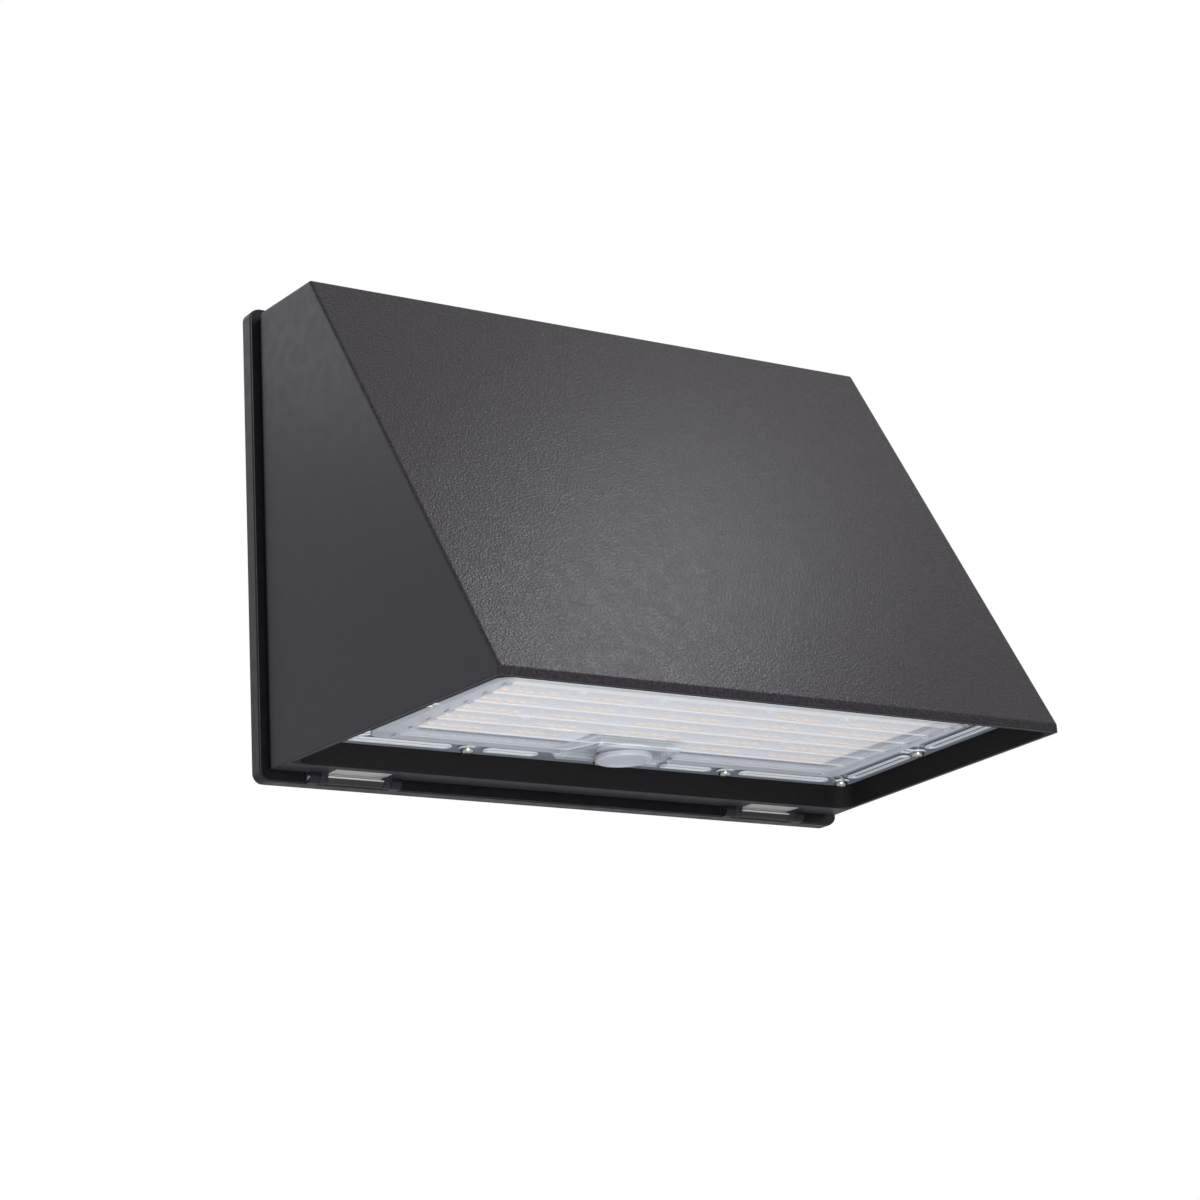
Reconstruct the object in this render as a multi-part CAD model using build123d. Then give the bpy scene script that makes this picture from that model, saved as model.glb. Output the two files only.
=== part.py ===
from build123d import *
import math
import os

# Wall pack light. Millimetres. X runs along the wall, the wall is the plane y = 0 and the light
# stands out from it toward -Y, and Z is up. The origin is the middle of the back box's rear face.

# Overall sizes
overall_width = 337.0
overall_depth = 206.0
overall_height = 238.0

# Back box: a shallow tray on the wall
back_box_depth = 8.0
back_box_floor = 2.6
back_box_corner_radius = 5.0
tray_corner_radius = 6.0
tray_rib_width = 2.2
tray_rib_height = 2.4

# Front housing: a hollow wedge
side_margin = 3.5  # the back box stands out this far past the housing at each side
top_margin = 3.3  # the same at the top
bottom_margin = 4.7  # the same at the bottom
joint_gap = 4.6  # filled by the rubber ring between back box and housing
front_half_width = 154.0
top_depth = 60.0  # wall to the housing's top front edge
lip_height = 4.0
housing_wall = 3.2
outer_edge_radius = 1.6
rim_edge_radius = 0.8

# Light recess in the housing's underside
recess_wall = 2.8
beam_thickness = 15.4  # rear wall of the recess, which carries the hinge
recess_depth = 11.7  # rim to the lens flange
recess_corner_radius = 9.0
shelf_thickness = 3.0

# Ribs inside the housing
gusset_count = 7
gusset_pitch = 42.0
gusset_width = 2.4
gusset_reach = 62.0
gusset_height = 34.0

# Rubber ring between back box and housing
gasket_skirt = 1.0
gasket_skirt_inset = 0.4
gasket_bead_width = 8.0
gasket_bead_inset = 1.0
gasket_bead_corner_radius = 3.0
gasket_land = 1.0

# Hinge
hinge_spacing = 240.0
hinge_axis_height = 3.2  # above the back box's bottom edge
hinge_leaf_width = 30.0
hinge_leaf_thickness = 1.5
hinge_leaf_reach = 12.0
hinge_leaf_leg = 6.0
leaf_leg_inset = 3.0
leaf_mouth_rise = 0.3
hinge_pin_radius = 1.45
hinge_running_gap = 0.05
hinge_pin_head_radius = 2.1
hinge_pin_head_length = 0.8
knuckle_radius = 3.2
knuckle_gap = 0.3
housing_knuckle_width = 3.8
box_knuckle_width = 5.2
knuckle_sweep_gap = 0.35

# Top closure: arms on the back box reach in under the housing's top wall
cover_screw_spacing = 210.0
cover_screw_depth = 24.0  # wall to screw
cover_screw_radius = 2.0
cover_screw_head_radius = 4.0
cover_screw_head_height = 2.3
cover_screw_seal_thickness = 0.8
cover_screw_seal_radius = 4.6
cover_nut_width = 7.0
cover_nut_height = 3.2
arm_width = 16.0
arm_thickness = 4.0
arm_tip_drop = 1.4
arm_reach = 29.0
arm_root_drop = 24.0
arm_slot_gap = 0.6
arm_top_gap = 0.5

# Lens
lens_side_gap = 0.8
lens_flange_thickness = 2.5
lens_gasket_thickness = 1.5
lens_gasket_inset = 4.0
lens_gasket_width = 17.0
lens_wall = 2.0
lens_tray_inset = 24.0
lens_tray_drop = 2.5
lens_tray_corner_radius = 6.0
lens_plate_thickness = 2.4
flute_count = 6
flute_land = 1.6  # flat crest between two flutes
flute_depth = 1.3
flute_margin = 7.75  # tray edge to the first and last flute
flute_end_margin = 6.4  # tray side to the flutes' ends
lens_screw_inset = 13.6
lens_side_shift = 2.0  # the side screws and beads lie this much nearer the edge
lens_screw_spacing = 75.0
lens_screw_radius = 1.9
lens_screw_hole_radius = 2.2
lens_screw_length = 9.0
lens_boss_radius = 4.4
lens_boss_height = 1.6
boss_rib_width = 1.2
boss_rib_spacing = 4.6  # between the middles of a boss's two ribs
boss_rib_overlap = 3.0  # how far a rib runs on into the tray
crest_stop_length = 3.2
crest_stop_width = 4.2
crest_stop_height = 0.8
bead_width = 7.0
bead_height = 1.5
bead_groove_width = 3.0
bead_groove_depth = 0.9
bead_end_gap = 9.0
housing_boss_radius = 4.0
housing_boss_height = 5.5
thread_gap = 0.1
pan_head_radius = 3.5
pan_head_height = 2.1
head_round_share = 0.55  # of the head's height
recess_width_share = 0.28  # of the head's radius
recess_depth_share = 0.5  # of the head's height

# Sensor bay in the lens and the sensor behind it
bay_rear_half_width = 34.0
bay_front_half_width = 23.0
bay_length = 31.0
bay_drop = 4.0  # lens flange to bay face
bay_flare = 1.6
bay_rear_gap = 6.2
bay_corner_radius = 4.0
bay_overlap = 0.5
cap_radius = 14.0
cap_height = 2.6
cap_neck_radius = 12.0
cap_wall = 1.5
cap_window_radius = 10.8
cap_window_recess = 0.5
cap_edge_radius = 1.0
cap_hole_gap = 0.1
sensor_ring_radius = 13.2
sensor_ring_height = 1.3
sensor_board_thickness = 1.6
sensor_board_width = 36.0
sensor_board_length = 22.0
sensor_holder_height = 1.3
sensor_holder_wall = 3.0
photocell_radius = 2.6
photocell_height = 1.8
photocell_dome_radius = 1.0

# Light board
thermal_pad_thickness = 0.5
led_board_thickness = 1.6
led_board_end_gap = 1.0  # flute end to board end
led_board_edge_gap = 1.0  # flute edge to board edge
board_notch_half_width = 27.0
board_notch_gap = 2.0
chip_length = 3.5
chip_width = 2.8
chip_height = 0.7
chip_pitch = 6.4
outer_chip_inset = 36.0  # board end to the outer group's first chip
outer_chip_count = 6
inner_chip_x = 43.2
inner_chip_count = 4
middle_chip_count = 6
board_screw_x = 74.0
board_screw_middle_x = 30.0
board_screw_radius = 1.3
board_screw_head_radius = 2.6
board_screw_head_height = 1.2
board_screw_length = 4.0
connector_width = 13.0
connector_length = 7.0
connector_height = 1.1
connector_x = 46.0
connector_mouth_half = 1.6
connector_mouth_depth = 2.5

# Driver and wiring in the housing
driver_length = 132.0
driver_width = 42.0
driver_height = 28.0
driver_edge_radius = 2.5
driver_x = -30.0
driver_gap_to_bosses = 1.5
driver_foot_length = 12.0
driver_foot_thickness = 2.4
driver_screw_radius = 2.0
driver_screw_length = 4.6
surge_width = 34.0
surge_length = 26.0
surge_height = 20.0
surge_foot_length = 11.0
surge_x = 112.0
surge_gap_to_terminal = 20.0
terminal_width = 38.0
terminal_length = 18.0
terminal_height = 14.0
terminal_poles = 3
terminal_chamfer = 2.0
terminal_mouth_height = 4.7
terminal_mouth_depth = 6.0
terminal_screw_radius = 2.6
terminal_screw_height = 1.4
terminal_slot_half = 0.4
lead_radius = 1.3
lead_bend = 7.0
lead_end_gap = 0.5
lead_run_gap = 1.0
board_lead_radius = 0.8
board_lead_bend = 3.0
board_lead_reach = 9.0
lead_grommet_radius = 5.0
lead_grommet_flange = 1.6
lead_grommet_overlap = 1.8
lead_grommet_gap = 1.0
lead_clearance = 0.3

# Wall side
junction_slot_spacing = 88.9
junction_slot_length = 14.0
junction_slot_radius = 2.9
wall_hole_spacing_x = 230.0
wall_hole_spacing_z = 140.0
wall_hole_radius = 3.1
wall_pad_radius = 8.0
wall_pad_height = 2.0
wire_hole_radius = 9.0
grommet_bore_radius = 6.5
grommet_lip_radius = 11.5
grommet_lip_thickness = 1.4
grommet_edge_radius = 0.5
foam_inner_radius = 56.0
foam_outer_radius = 62.0
foam_depth = 1.2
ground_boss_radius = 5.0
ground_boss_height = 3.4
ground_screw_radius = 2.0
ground_screw_head_radius = 4.0
ground_screw_head_height = 1.9
ground_screw_x = 34.0
ground_screw_z = 34.0
seat_gap = 0.02
past = 1.0  # how far a cutter runs past the face it opens
same_plane = 0.01

# Planes and heights worked out from the sizes above
bottom = -overall_height / 2
top = overall_height / 2
box_front = -back_box_depth
housing_rear = box_front - joint_gap
housing_front = -overall_depth
housing_top = top - top_margin
rear_half_width = overall_width / 2 - side_margin
rim = bottom + bottom_margin
flange_face = rim + recess_depth
flange_top = flange_face + lens_flange_thickness
shelf_under = flange_top + lens_gasket_thickness
shelf_top = shelf_under + shelf_thickness
recess_rear = housing_rear - beam_thickness
draft = (rear_half_width - front_half_width) / (housing_rear - housing_front)
slope = (overall_depth - top_depth) / (housing_top - rim - lip_height)
slope_angle = math.atan(slope)
hinge_y = box_front - joint_gap / 2
hinge_z = bottom + hinge_axis_height
lens_rear = recess_rear - lens_side_gap
bay_rear = lens_rear - lens_screw_inset - bay_rear_gap
bay_front = bay_rear - bay_length
cap_y = (bay_rear + bay_front) / 2
bay_face = flange_face - bay_drop
cap_face = bay_face - cap_height
tray_face = flange_face - lens_tray_drop
board_under = shelf_under - thermal_pad_thickness - led_board_thickness


def half_width(y):
    """Outer half width of the housing at a distance y in front of the wall."""
    return rear_half_width - draft * (housing_rear - y)


def slope_y(z, inset=0.0):
    """Depth of the sloped face at height z, moved inward by a wall thickness."""
    return housing_front + slope * (z - rim - lip_height) + inset / math.cos(slope_angle)


lens_front = slope_y(shelf_under, recess_wall) + lens_side_gap
lens_middle = (lens_rear + lens_front) / 2
lens_edge = recess_wall + lens_side_gap
tray_rear = lens_rear - lens_tray_inset
tray_front = lens_front + lens_tray_inset
flute_pitch = (tray_rear - tray_front - 2 * flute_margin) / flute_count
flute_half_length = half_width(tray_front) - lens_edge - lens_tray_inset - flute_end_margin
led_board_half_width = flute_half_length - led_board_end_gap
led_board_margin = flute_pitch / 2 - led_board_edge_gap


def block(x0, x1, y0, y1, z0, z1):
    """Box between two corners."""
    size = Box(abs(x1 - x0), abs(y1 - y0), abs(z1 - z0))
    return Pos((x0 + x1) / 2, (y0 + y1) / 2, (z0 + z1) / 2) * size


def rod_x(x0, x1, y, z, radius):
    """Round bar along X."""
    return Pos((x0 + x1) / 2, y, z) * Rot(0, 90, 0) * Cylinder(radius, abs(x1 - x0))


def rod_y(x, y0, y1, z, radius):
    """Round bar along Y."""
    return Pos(x, (y0 + y1) / 2, z) * Rot(90, 0, 0) * Cylinder(radius, abs(y1 - y0))


def rod_z(x, y, z0, z1, radius):
    """Round bar along Z."""
    return Pos(x, y, (z0 + z1) / 2) * Cylinder(radius, abs(z1 - z0))


def side_profile(points, x0, x1):
    """Solid with an outline in the YZ plane, from x0 to x1."""
    face = Plane.YZ.offset(x0) * Polygon(*points, align=None)
    return extrude(face, amount=x1 - x0, dir=(1, 0, 0))


def wall_plate(width, z0, z1, y0, y1, radius):
    """Rounded upright plate from y0 forward to y1."""
    outline = Plane.XZ.offset(-y0) * Pos(0, (z0 + z1) / 2) * RectangleRounded(width, z1 - z0, radius)
    return extrude(outline, amount=y0 - y1)


def plan_face(rear, front, inset, radius, z):
    """Level outline that follows the housing's tapered sides, inset from its outer face."""
    corners = [
        (-half_width(rear) + inset, rear),
        (half_width(rear) - inset, rear),
        (half_width(front) - inset, front),
        (-half_width(front) + inset, front),
    ]
    outline = Polygon(*corners, align=None)
    if radius > 0:
        outline = fillet(outline.vertices(), radius)
    return Pos(0, 0, z) * outline


def plan_plate(rear, front, inset, radius, z0, z1):
    """Level plate with tapered sides from z0 up to z1."""
    return extrude(plan_face(rear, front, inset, radius, z0), amount=z1 - z0, dir=(0, 0, 1))


def mirrored_pair(solid):
    """The solid and its copy on the other side of X = 0."""
    return [solid, mirror(solid, Plane.YZ)]


def add_all(base, pieces):
    """Base with every piece fused to it."""
    for piece in pieces:
        base = base + piece
    return base


def cut_all(base, pieces):
    """Base with every piece cut from it."""
    for piece in pieces:
        base = base - piece
    return base


def save(name, solids):
    """Write one sub-part: a single solid, or a group of separate solids."""
    shape = solids if not isinstance(solids, list) else Compound(children=solids)
    export_step(shape, os.path.join("parts", name + ".step"))


# Hinge stations

hinge_centres = [-hinge_spacing / 2, hinge_spacing / 2]
leaf_half = hinge_leaf_width / 2
housing_knuckle_start = leaf_half + knuckle_gap
housing_knuckle_end = housing_knuckle_start + housing_knuckle_width
box_knuckle_start = housing_knuckle_end + knuckle_gap
box_knuckle_end = box_knuckle_start + box_knuckle_width


def both_ends(centre, start, end):
    """X ranges at each side of a hinge's middle."""
    return [(centre - end, centre - start), (centre + start, centre + end)]


def pin_bore(centre):
    """Running bore for the pin through one hinge."""
    reach = box_knuckle_end + hinge_pin_head_length
    return rod_x(centre - reach, centre + reach, hinge_y, hinge_z, hinge_pin_radius + hinge_running_gap)


def box_knuckles(centre):
    """Two outer knuckles that stand forward from the back box."""
    made = []
    for x0, x1 in both_ends(centre, box_knuckle_start, box_knuckle_end):
        root = block(x0, x1, box_front, hinge_y, hinge_z - knuckle_radius, hinge_z + knuckle_radius)
        made.append(rod_x(x0, x1, hinge_y, hinge_z, knuckle_radius) + root)
    return made


def housing_knuckles(centre):
    """Two inner knuckles that hang from the housing's rear rim."""
    made = []
    for x0, x1 in both_ends(centre, housing_knuckle_start, housing_knuckle_end):
        root = block(x0, x1, housing_rear - knuckle_radius / 2, hinge_y, hinge_z, hinge_z + knuckle_radius)
        made.append(rod_x(x0, x1, hinge_y, hinge_z, knuckle_radius) + root)
    return made


def swing_room(x0, x1):
    """Round clearance about the hinge line."""
    return rod_x(x0, x1, hinge_y, hinge_z, knuckle_radius + knuckle_sweep_gap)


def hinge_leaf(centre):
    """Stainless leaf: a flat in the rim's notch, rolled round the pin, with a leg up into a slot."""
    x0, x1 = centre - leaf_half, centre + leaf_half
    outer = hinge_pin_radius + hinge_running_gap + hinge_leaf_thickness
    roll = rod_x(x0, x1, hinge_y, hinge_z, outer)
    front = hinge_y - hinge_leaf_reach
    flat = block(x0, x1, front, hinge_y, hinge_z + outer - hinge_leaf_thickness, hinge_z + outer)
    leg = block(x0 + leaf_leg_inset, x1 - leaf_leg_inset, front, front + hinge_leaf_thickness,
                hinge_z + outer, hinge_z + outer + hinge_leaf_leg)
    leaf = roll + flat + leg - pin_bore(centre)
    mouth = block(x0, x1, hinge_y - outer, hinge_y - hinge_pin_radius / 2,
                  hinge_z + leaf_mouth_rise, hinge_z + outer - hinge_leaf_thickness)
    return leaf - mouth


def leaf_notch(centre):
    """Notch in the housing's rear rim that the leaf fills, and the slot for its leg."""
    x0, x1 = centre - leaf_half - knuckle_gap, centre + leaf_half + knuckle_gap
    outer = hinge_pin_radius + hinge_running_gap + hinge_leaf_thickness
    front = hinge_y - hinge_leaf_reach - seat_gap
    flat = block(x0, x1, front, housing_rear, rim, hinge_z + outer + seat_gap)
    slot_half = leaf_half - leaf_leg_inset + seat_gap
    slot = block(centre - slot_half, centre + slot_half, front, front + hinge_leaf_thickness + 2 * seat_gap,
                 hinge_z + outer, hinge_z + outer + hinge_leaf_leg + seat_gap)
    return flat + slot


def hinge_pin(centre):
    """Steel pin with a small head at its outer end."""
    outward = 1 if centre > 0 else -1
    shank = rod_x(centre - box_knuckle_end, centre + box_knuckle_end, hinge_y, hinge_z, hinge_pin_radius)
    head_start = centre + outward * box_knuckle_end
    head = rod_x(head_start, head_start + outward * hinge_pin_head_length, hinge_y, hinge_z,
                 hinge_pin_head_radius)
    return shank + head


# Back box

bead_outer_half = rear_half_width - gasket_bead_inset
bead_bottom = rim + gasket_bead_inset + knuckle_radius
bead_top = housing_top - gasket_bead_inset
tray_half = bead_outer_half - gasket_bead_width - gasket_land
tray_bottom = bead_bottom + gasket_bead_width + gasket_land
tray_top = bead_top - gasket_bead_width - gasket_land
arm_centres = [-cover_screw_spacing / 2, cover_screw_spacing / 2]
top_wall_under = housing_top - housing_wall
arm_top = top_wall_under - arm_top_gap


def closing_arm(centre):
    """Arm that reaches forward past the rubber ring and up under the housing's top wall."""
    x0, x1 = centre - arm_width / 2, centre + arm_width / 2
    neck_top = tray_top - gasket_land
    rise = housing_rear - gasket_land * 2
    points = [
        (-back_box_floor, neck_top),
        (rise, neck_top),
        (rise, arm_top),
        (-arm_reach, arm_top - arm_tip_drop),
        (-arm_reach, arm_top - arm_tip_drop - arm_thickness),
        (rise - arm_thickness, arm_top - arm_tip_drop - arm_thickness),
        (rise - arm_thickness, neck_top - arm_thickness),
        (-back_box_floor, neck_top - arm_root_drop),
    ]
    arm = side_profile(points, x0, x1)
    slot_half = cover_screw_radius + arm_slot_gap
    slot = rod_z(centre, -cover_screw_depth, arm_top - 2 * arm_thickness, arm_top + past, slot_half)
    mouth = block(centre - slot_half, centre + slot_half, -arm_reach - past, -cover_screw_depth,
                  arm_top - 2 * arm_thickness, arm_top + past)
    return arm - slot - mouth


def junction_slots():
    """Two slots at the screw spacing of a wall junction box."""
    cuts = []
    for side in (-1, 1):
        outline = SlotOverall(junction_slot_length, 2 * junction_slot_radius)
        placed = Plane.XZ.offset(-past) * Pos(side * junction_slot_spacing / 2, 0) * outline
        cuts.append(extrude(placed, amount=back_box_depth))
    return cuts


def wall_hole_places():
    """Corner fixing holes for a plain wall."""
    return [(sx * wall_hole_spacing_x / 2, sz * wall_hole_spacing_z / 2) for sx in (-1, 1) for sz in (-1, 1)]


def tray_ribs():
    """Low stiffening ribs on the tray's floor, round the junction box area and out to the rim."""
    low = -back_box_floor - tray_rib_height
    ring = rod_y(0, -back_box_floor, low, 0, foam_outer_radius + tray_rib_width)
    ring = ring - rod_y(0, 0, low - past, 0, foam_outer_radius)
    ribs = [ring]
    for side in (-1, 1):
        x0 = side * foam_outer_radius
        x1 = side * tray_half
        ribs.append(block(x0, x1, -back_box_floor, low, -tray_rib_width / 2, tray_rib_width / 2))
    ribs.append(block(-tray_rib_width / 2, tray_rib_width / 2, -back_box_floor, low, tray_bottom,
                      -foam_outer_radius))
    ribs.append(block(-tray_rib_width / 2, tray_rib_width / 2, -back_box_floor, low, foam_outer_radius,
                      tray_top))
    return ribs


def make_back_box():
    """Shallow cast tray with knuckles, closing arms, fixing holes and wire hole."""
    body = wall_plate(overall_width, bottom, top, 0, box_front, back_box_corner_radius)
    outer_edges = body.edges().filter_by(Plane.XZ).group_by(Axis.Y)[0]
    body = fillet(outer_edges, rim_edge_radius)
    body = body - wall_plate(2 * tray_half, tray_bottom, tray_top, -back_box_floor, box_front - past,
                             tray_corner_radius)
    body = add_all(body, tray_ribs())
    for x, z in wall_hole_places():
        pad_front = -back_box_floor - wall_pad_height
        body = body + rod_y(x, -back_box_floor / 2, pad_front, z, wall_pad_radius)
        body = body - rod_y(x, past, pad_front - past, z, wall_hole_radius)
    boss_front = -back_box_floor - ground_boss_height
    body = body + rod_y(ground_screw_x, -back_box_floor / 2, boss_front, ground_screw_z, ground_boss_radius)
    body = body - rod_y(ground_screw_x, -back_box_floor, boss_front - past, ground_screw_z,
                        ground_screw_radius + thread_gap)
    body = cut_all(body, junction_slots())
    body = body - rod_y(0, past, box_front, 0, wire_hole_radius + 2 * seat_gap)
    body = body - foam_ring(seat_gap)
    for centre in hinge_centres:
        body = body - swing_room(centre - box_knuckle_start, centre + box_knuckle_start)
        body = add_all(body, box_knuckles(centre))
        body = body - pin_bore(centre)
    for centre in arm_centres:
        body = body + closing_arm(centre)
    return body


def foam_ring(extra=0.0):
    """Flat ring of foam let into the rear face round the wiring area."""
    outer = rod_y(0, 0, -foam_depth - extra, 0, foam_outer_radius + extra)
    return outer - rod_y(0, past, -foam_depth - past, 0, foam_inner_radius - extra)


def make_wire_grommet():
    """Rubber grommet that lines the wire hole, with a lip on each side held inside the rear face."""
    neck = rod_y(0, 0, -back_box_floor - grommet_lip_thickness, 0, wire_hole_radius)
    lip = rod_y(0, -back_box_floor, -back_box_floor - grommet_lip_thickness, 0, grommet_lip_radius)
    bore = rod_y(0, past, -back_box_floor - 2 * grommet_lip_thickness, 0, grommet_bore_radius)
    body = neck + lip
    front_edge = body.edges().filter_by(GeomType.CIRCLE).group_by(Axis.Y)[0]
    return fillet(front_edge, grommet_edge_radius) - bore


def pan_screw(head_radius, head_height, shank_radius, shank_length):
    """Screw along +Z with its head below z = 0 and a crossed recess in the head."""
    head = rod_z(0, 0, -head_height, 0, head_radius)
    head = fillet(head.edges().group_by(Axis.Z)[0], head_height * head_round_share)
    shank = rod_z(0, 0, 0, shank_length, shank_radius)
    wide = head_radius
    narrow = head_radius * recess_width_share
    depth = head_height * recess_depth_share
    cross = block(-wide / 2, wide / 2, -narrow / 2, narrow / 2, -head_height, -head_height + depth)
    cross = cross + block(-narrow / 2, narrow / 2, -wide / 2, wide / 2, -head_height, -head_height + depth)
    return head + shank - cross


def make_ground_screw():
    """Screw for the earth lead, on its boss in the tray."""
    screw = pan_screw(ground_screw_head_radius, ground_screw_head_height, ground_screw_radius,
                      ground_boss_height)
    seat = -back_box_floor - ground_boss_height
    return Pos(ground_screw_x, seat, ground_screw_z) * Rot(-90, 0, 0) * screw


def make_housing_gasket():
    """Rubber ring: a thin skirt over the back box's front rim and a bead under the housing's rim."""
    inset = gasket_skirt_inset
    radius = back_box_corner_radius - inset
    skirt = wall_plate(overall_width - 2 * inset, bottom + inset, top - inset, box_front,
                       box_front - gasket_skirt, radius)
    bead = wall_plate(2 * bead_outer_half, bead_bottom, bead_top, box_front, housing_rear,
                      gasket_bead_corner_radius)
    width = gasket_bead_width
    ring = skirt + bead - wall_plate(2 * (bead_outer_half - width), bead_bottom + width, bead_top - width,
                                     0, housing_rear - past, tray_corner_radius)
    reach = box_knuckle_end + hinge_pin_head_length + knuckle_gap
    for centre in hinge_centres:
        ring = ring - block(centre - reach, centre + reach, 0, housing_rear - past, bottom,
                            hinge_z + knuckle_radius + knuckle_sweep_gap)
    return ring


# Front housing

def outer_wedge():
    """Solid wedge: a side outline trimmed by the tapered side walls, with eased edges."""
    outline = [
        (housing_rear, rim),
        (housing_front, rim),
        (housing_front, rim + lip_height),
        (-top_depth, housing_top),
        (housing_rear, housing_top),
    ]
    wedge = side_profile(outline, -overall_width / 2, overall_width / 2)
    wedge = wedge & plan_plate(housing_rear + past, housing_front - past, 0, 0, rim - past,
                               housing_top + past)
    eased = []
    for edge in wedge.edges():
        middle = edge @ 0.5
        on_rear = abs(middle.Y - housing_rear) < same_plane
        on_rim = abs(middle.Z - rim) < same_plane
        if not on_rear and not on_rim:
            eased.append(edge)
    return fillet(eased, outer_edge_radius)


def wiring_cavity():
    """Hollow above the shelf, open at the rear."""
    outline = [
        (housing_rear + past, shelf_top),
        (slope_y(shelf_top, housing_wall), shelf_top),
        (slope_y(top_wall_under, housing_wall), top_wall_under),
        (housing_rear + past, top_wall_under),
    ]
    hollow = side_profile(outline, -overall_width / 2, overall_width / 2)
    return hollow & plan_plate(housing_rear + past, housing_front, housing_wall, 0, rim, housing_top)


def light_recess():
    """Hollow under the shelf, open at the underside, with rounded corners."""
    outline = [
        (recess_rear, rim - past),
        (recess_rear, shelf_under),
        (slope_y(shelf_under, recess_wall), shelf_under),
        (slope_y(rim + lip_height, recess_wall), rim + lip_height),
        (housing_front + recess_wall, rim - past),
    ]
    hollow = side_profile(outline, -overall_width / 2, overall_width / 2)
    return hollow & plan_plate(recess_rear, housing_front + recess_wall, recess_wall, recess_corner_radius,
                               rim - past, shelf_under)


def gussets():
    """Ribs that tie the shelf to the sloped wall."""
    foot = slope_y(shelf_top, housing_wall)
    head = slope_y(shelf_top + gusset_height, housing_wall)
    outline = [
        (foot - housing_wall / 2, shelf_top - shelf_thickness / 2),
        (foot + gusset_reach, shelf_top - shelf_thickness / 2),
        (foot + gusset_reach, shelf_top + gusset_width),
        (head - housing_wall / 2, shelf_top + gusset_height),
    ]
    first = -gusset_pitch * (gusset_count - 1) / 2
    made = []
    for index in range(gusset_count):
        x = first + index * gusset_pitch
        made.append(side_profile(outline, x - gusset_width / 2, x + gusset_width / 2))
    return made


def lens_screw_places():
    """Twelve places: five along the rear and the front, one at the middle of each side."""
    rear = lens_rear - lens_screw_inset
    front = lens_front + lens_screw_inset
    places = []
    for y in (rear, front):
        for x in (-lens_screw_spacing, 0, lens_screw_spacing):
            places.append((x, y))
    for y in (rear, lens_middle, front):
        for side in (-1, 1):
            places.append((side * lens_side_x(y), y))
    return places


def lens_side_x(y):
    """Screw and bead line along the lens's side flanges."""
    return half_width(y) - lens_edge - lens_screw_inset + lens_side_shift


def make_front_housing():
    """Hollow cast wedge with shelf, light recess, hinge knuckles and ribs."""
    body = outer_wedge() - wiring_cavity() - light_recess()
    body = add_all(body, gussets())
    for x, y in lens_screw_places():
        boss_top = shelf_top + housing_boss_height - shelf_thickness
        body = body + rod_z(x, y, shelf_under + shelf_thickness / 2, boss_top, housing_boss_radius)
    for x, y in lens_screw_places():
        tip = flange_face - lens_boss_height + lens_screw_length + thread_gap
        body = body - rod_z(x, y, shelf_under - past, tip, lens_screw_radius + thread_gap)
    for x, y in board_screw_places():
        body = body - rod_z(x, y, shelf_under - past, board_under + board_screw_length + thread_gap,
                            board_screw_radius + thread_gap)
    for x, y in driver_screw_places() + surge_screw_places():
        body = body - rod_z(x, y, shelf_top - driver_screw_length / 2, shelf_top + past,
                            driver_screw_radius + thread_gap)
    body = body - rod_z(lead_grommet_x, lead_grommet_y, shelf_under - past, shelf_top + past,
                        lead_grommet_radius + seat_gap)
    for centre in arm_centres:
        body = body - rod_z(centre, -cover_screw_depth, top_wall_under - past, housing_top + past,
                            cover_screw_radius + thread_gap)
    for centre in hinge_centres:
        for x0, x1 in both_ends(centre, housing_knuckle_end, box_knuckle_end + knuckle_gap):
            body = body - swing_room(x0, x1)
        body = body - leaf_notch(centre)
        body = body - rod_x(centre - housing_knuckle_start, centre + housing_knuckle_start, hinge_y, hinge_z,
                            knuckle_radius)
        body = add_all(body, housing_knuckles(centre))
        body = body - pin_bore(centre)
    return body


# Closing screws

def cover_screw(centre):
    """Screw down through the housing's top wall and the arm's slot into its nut."""
    head_seat = housing_top + cover_screw_seal_thickness
    length = head_seat - (arm_top - arm_tip_drop - arm_thickness - cover_nut_height - arm_top_gap)
    screw = pan_screw(cover_screw_head_radius, cover_screw_head_height, cover_screw_radius, length)
    return Pos(centre, -cover_screw_depth, head_seat) * Rot(180, 0, 0) * screw


def cover_screw_seal(centre):
    """Rubber washer under the screw's head."""
    washer = rod_z(centre, -cover_screw_depth, housing_top, housing_top + cover_screw_seal_thickness,
                   cover_screw_seal_radius)
    return washer - rod_z(centre, -cover_screw_depth, housing_top - past, top, cover_screw_radius + seat_gap)


def cover_screw_nut(centre):
    """Captive nut under the arm."""
    nut_top = arm_top - arm_tip_drop - arm_thickness - arm_top_gap / 2
    outline = Pos(centre, -cover_screw_depth, nut_top - cover_nut_height) * RegularPolygon(
        cover_nut_width / 2, 6, major_radius=False)
    nut = extrude(outline, amount=cover_nut_height)
    return nut - rod_z(centre, -cover_screw_depth, nut_top - 2 * cover_nut_height, nut_top + past,
                       cover_screw_radius + seat_gap)


# Lens

def bead_segment(x0, y0, x1, y1):
    """Raised bead with rounded ends and a groove along it, between two points of the flange."""
    length = math.hypot(x1 - x0, y1 - y0)
    turn = math.degrees(math.atan2(y1 - y0, x1 - x0))
    place = Pos((x0 + x1) / 2, (y0 + y1) / 2, flange_face) * Rot(0, 0, turn)
    outer = extrude(place * SlotOverall(length, bead_width), amount=-bead_height)
    low = Pos(0, 0, -bead_height) * place
    inner = extrude(low * SlotOverall(length - bead_width + bead_groove_width, bead_groove_width),
                    amount=bead_groove_depth)
    return outer - inner


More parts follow.
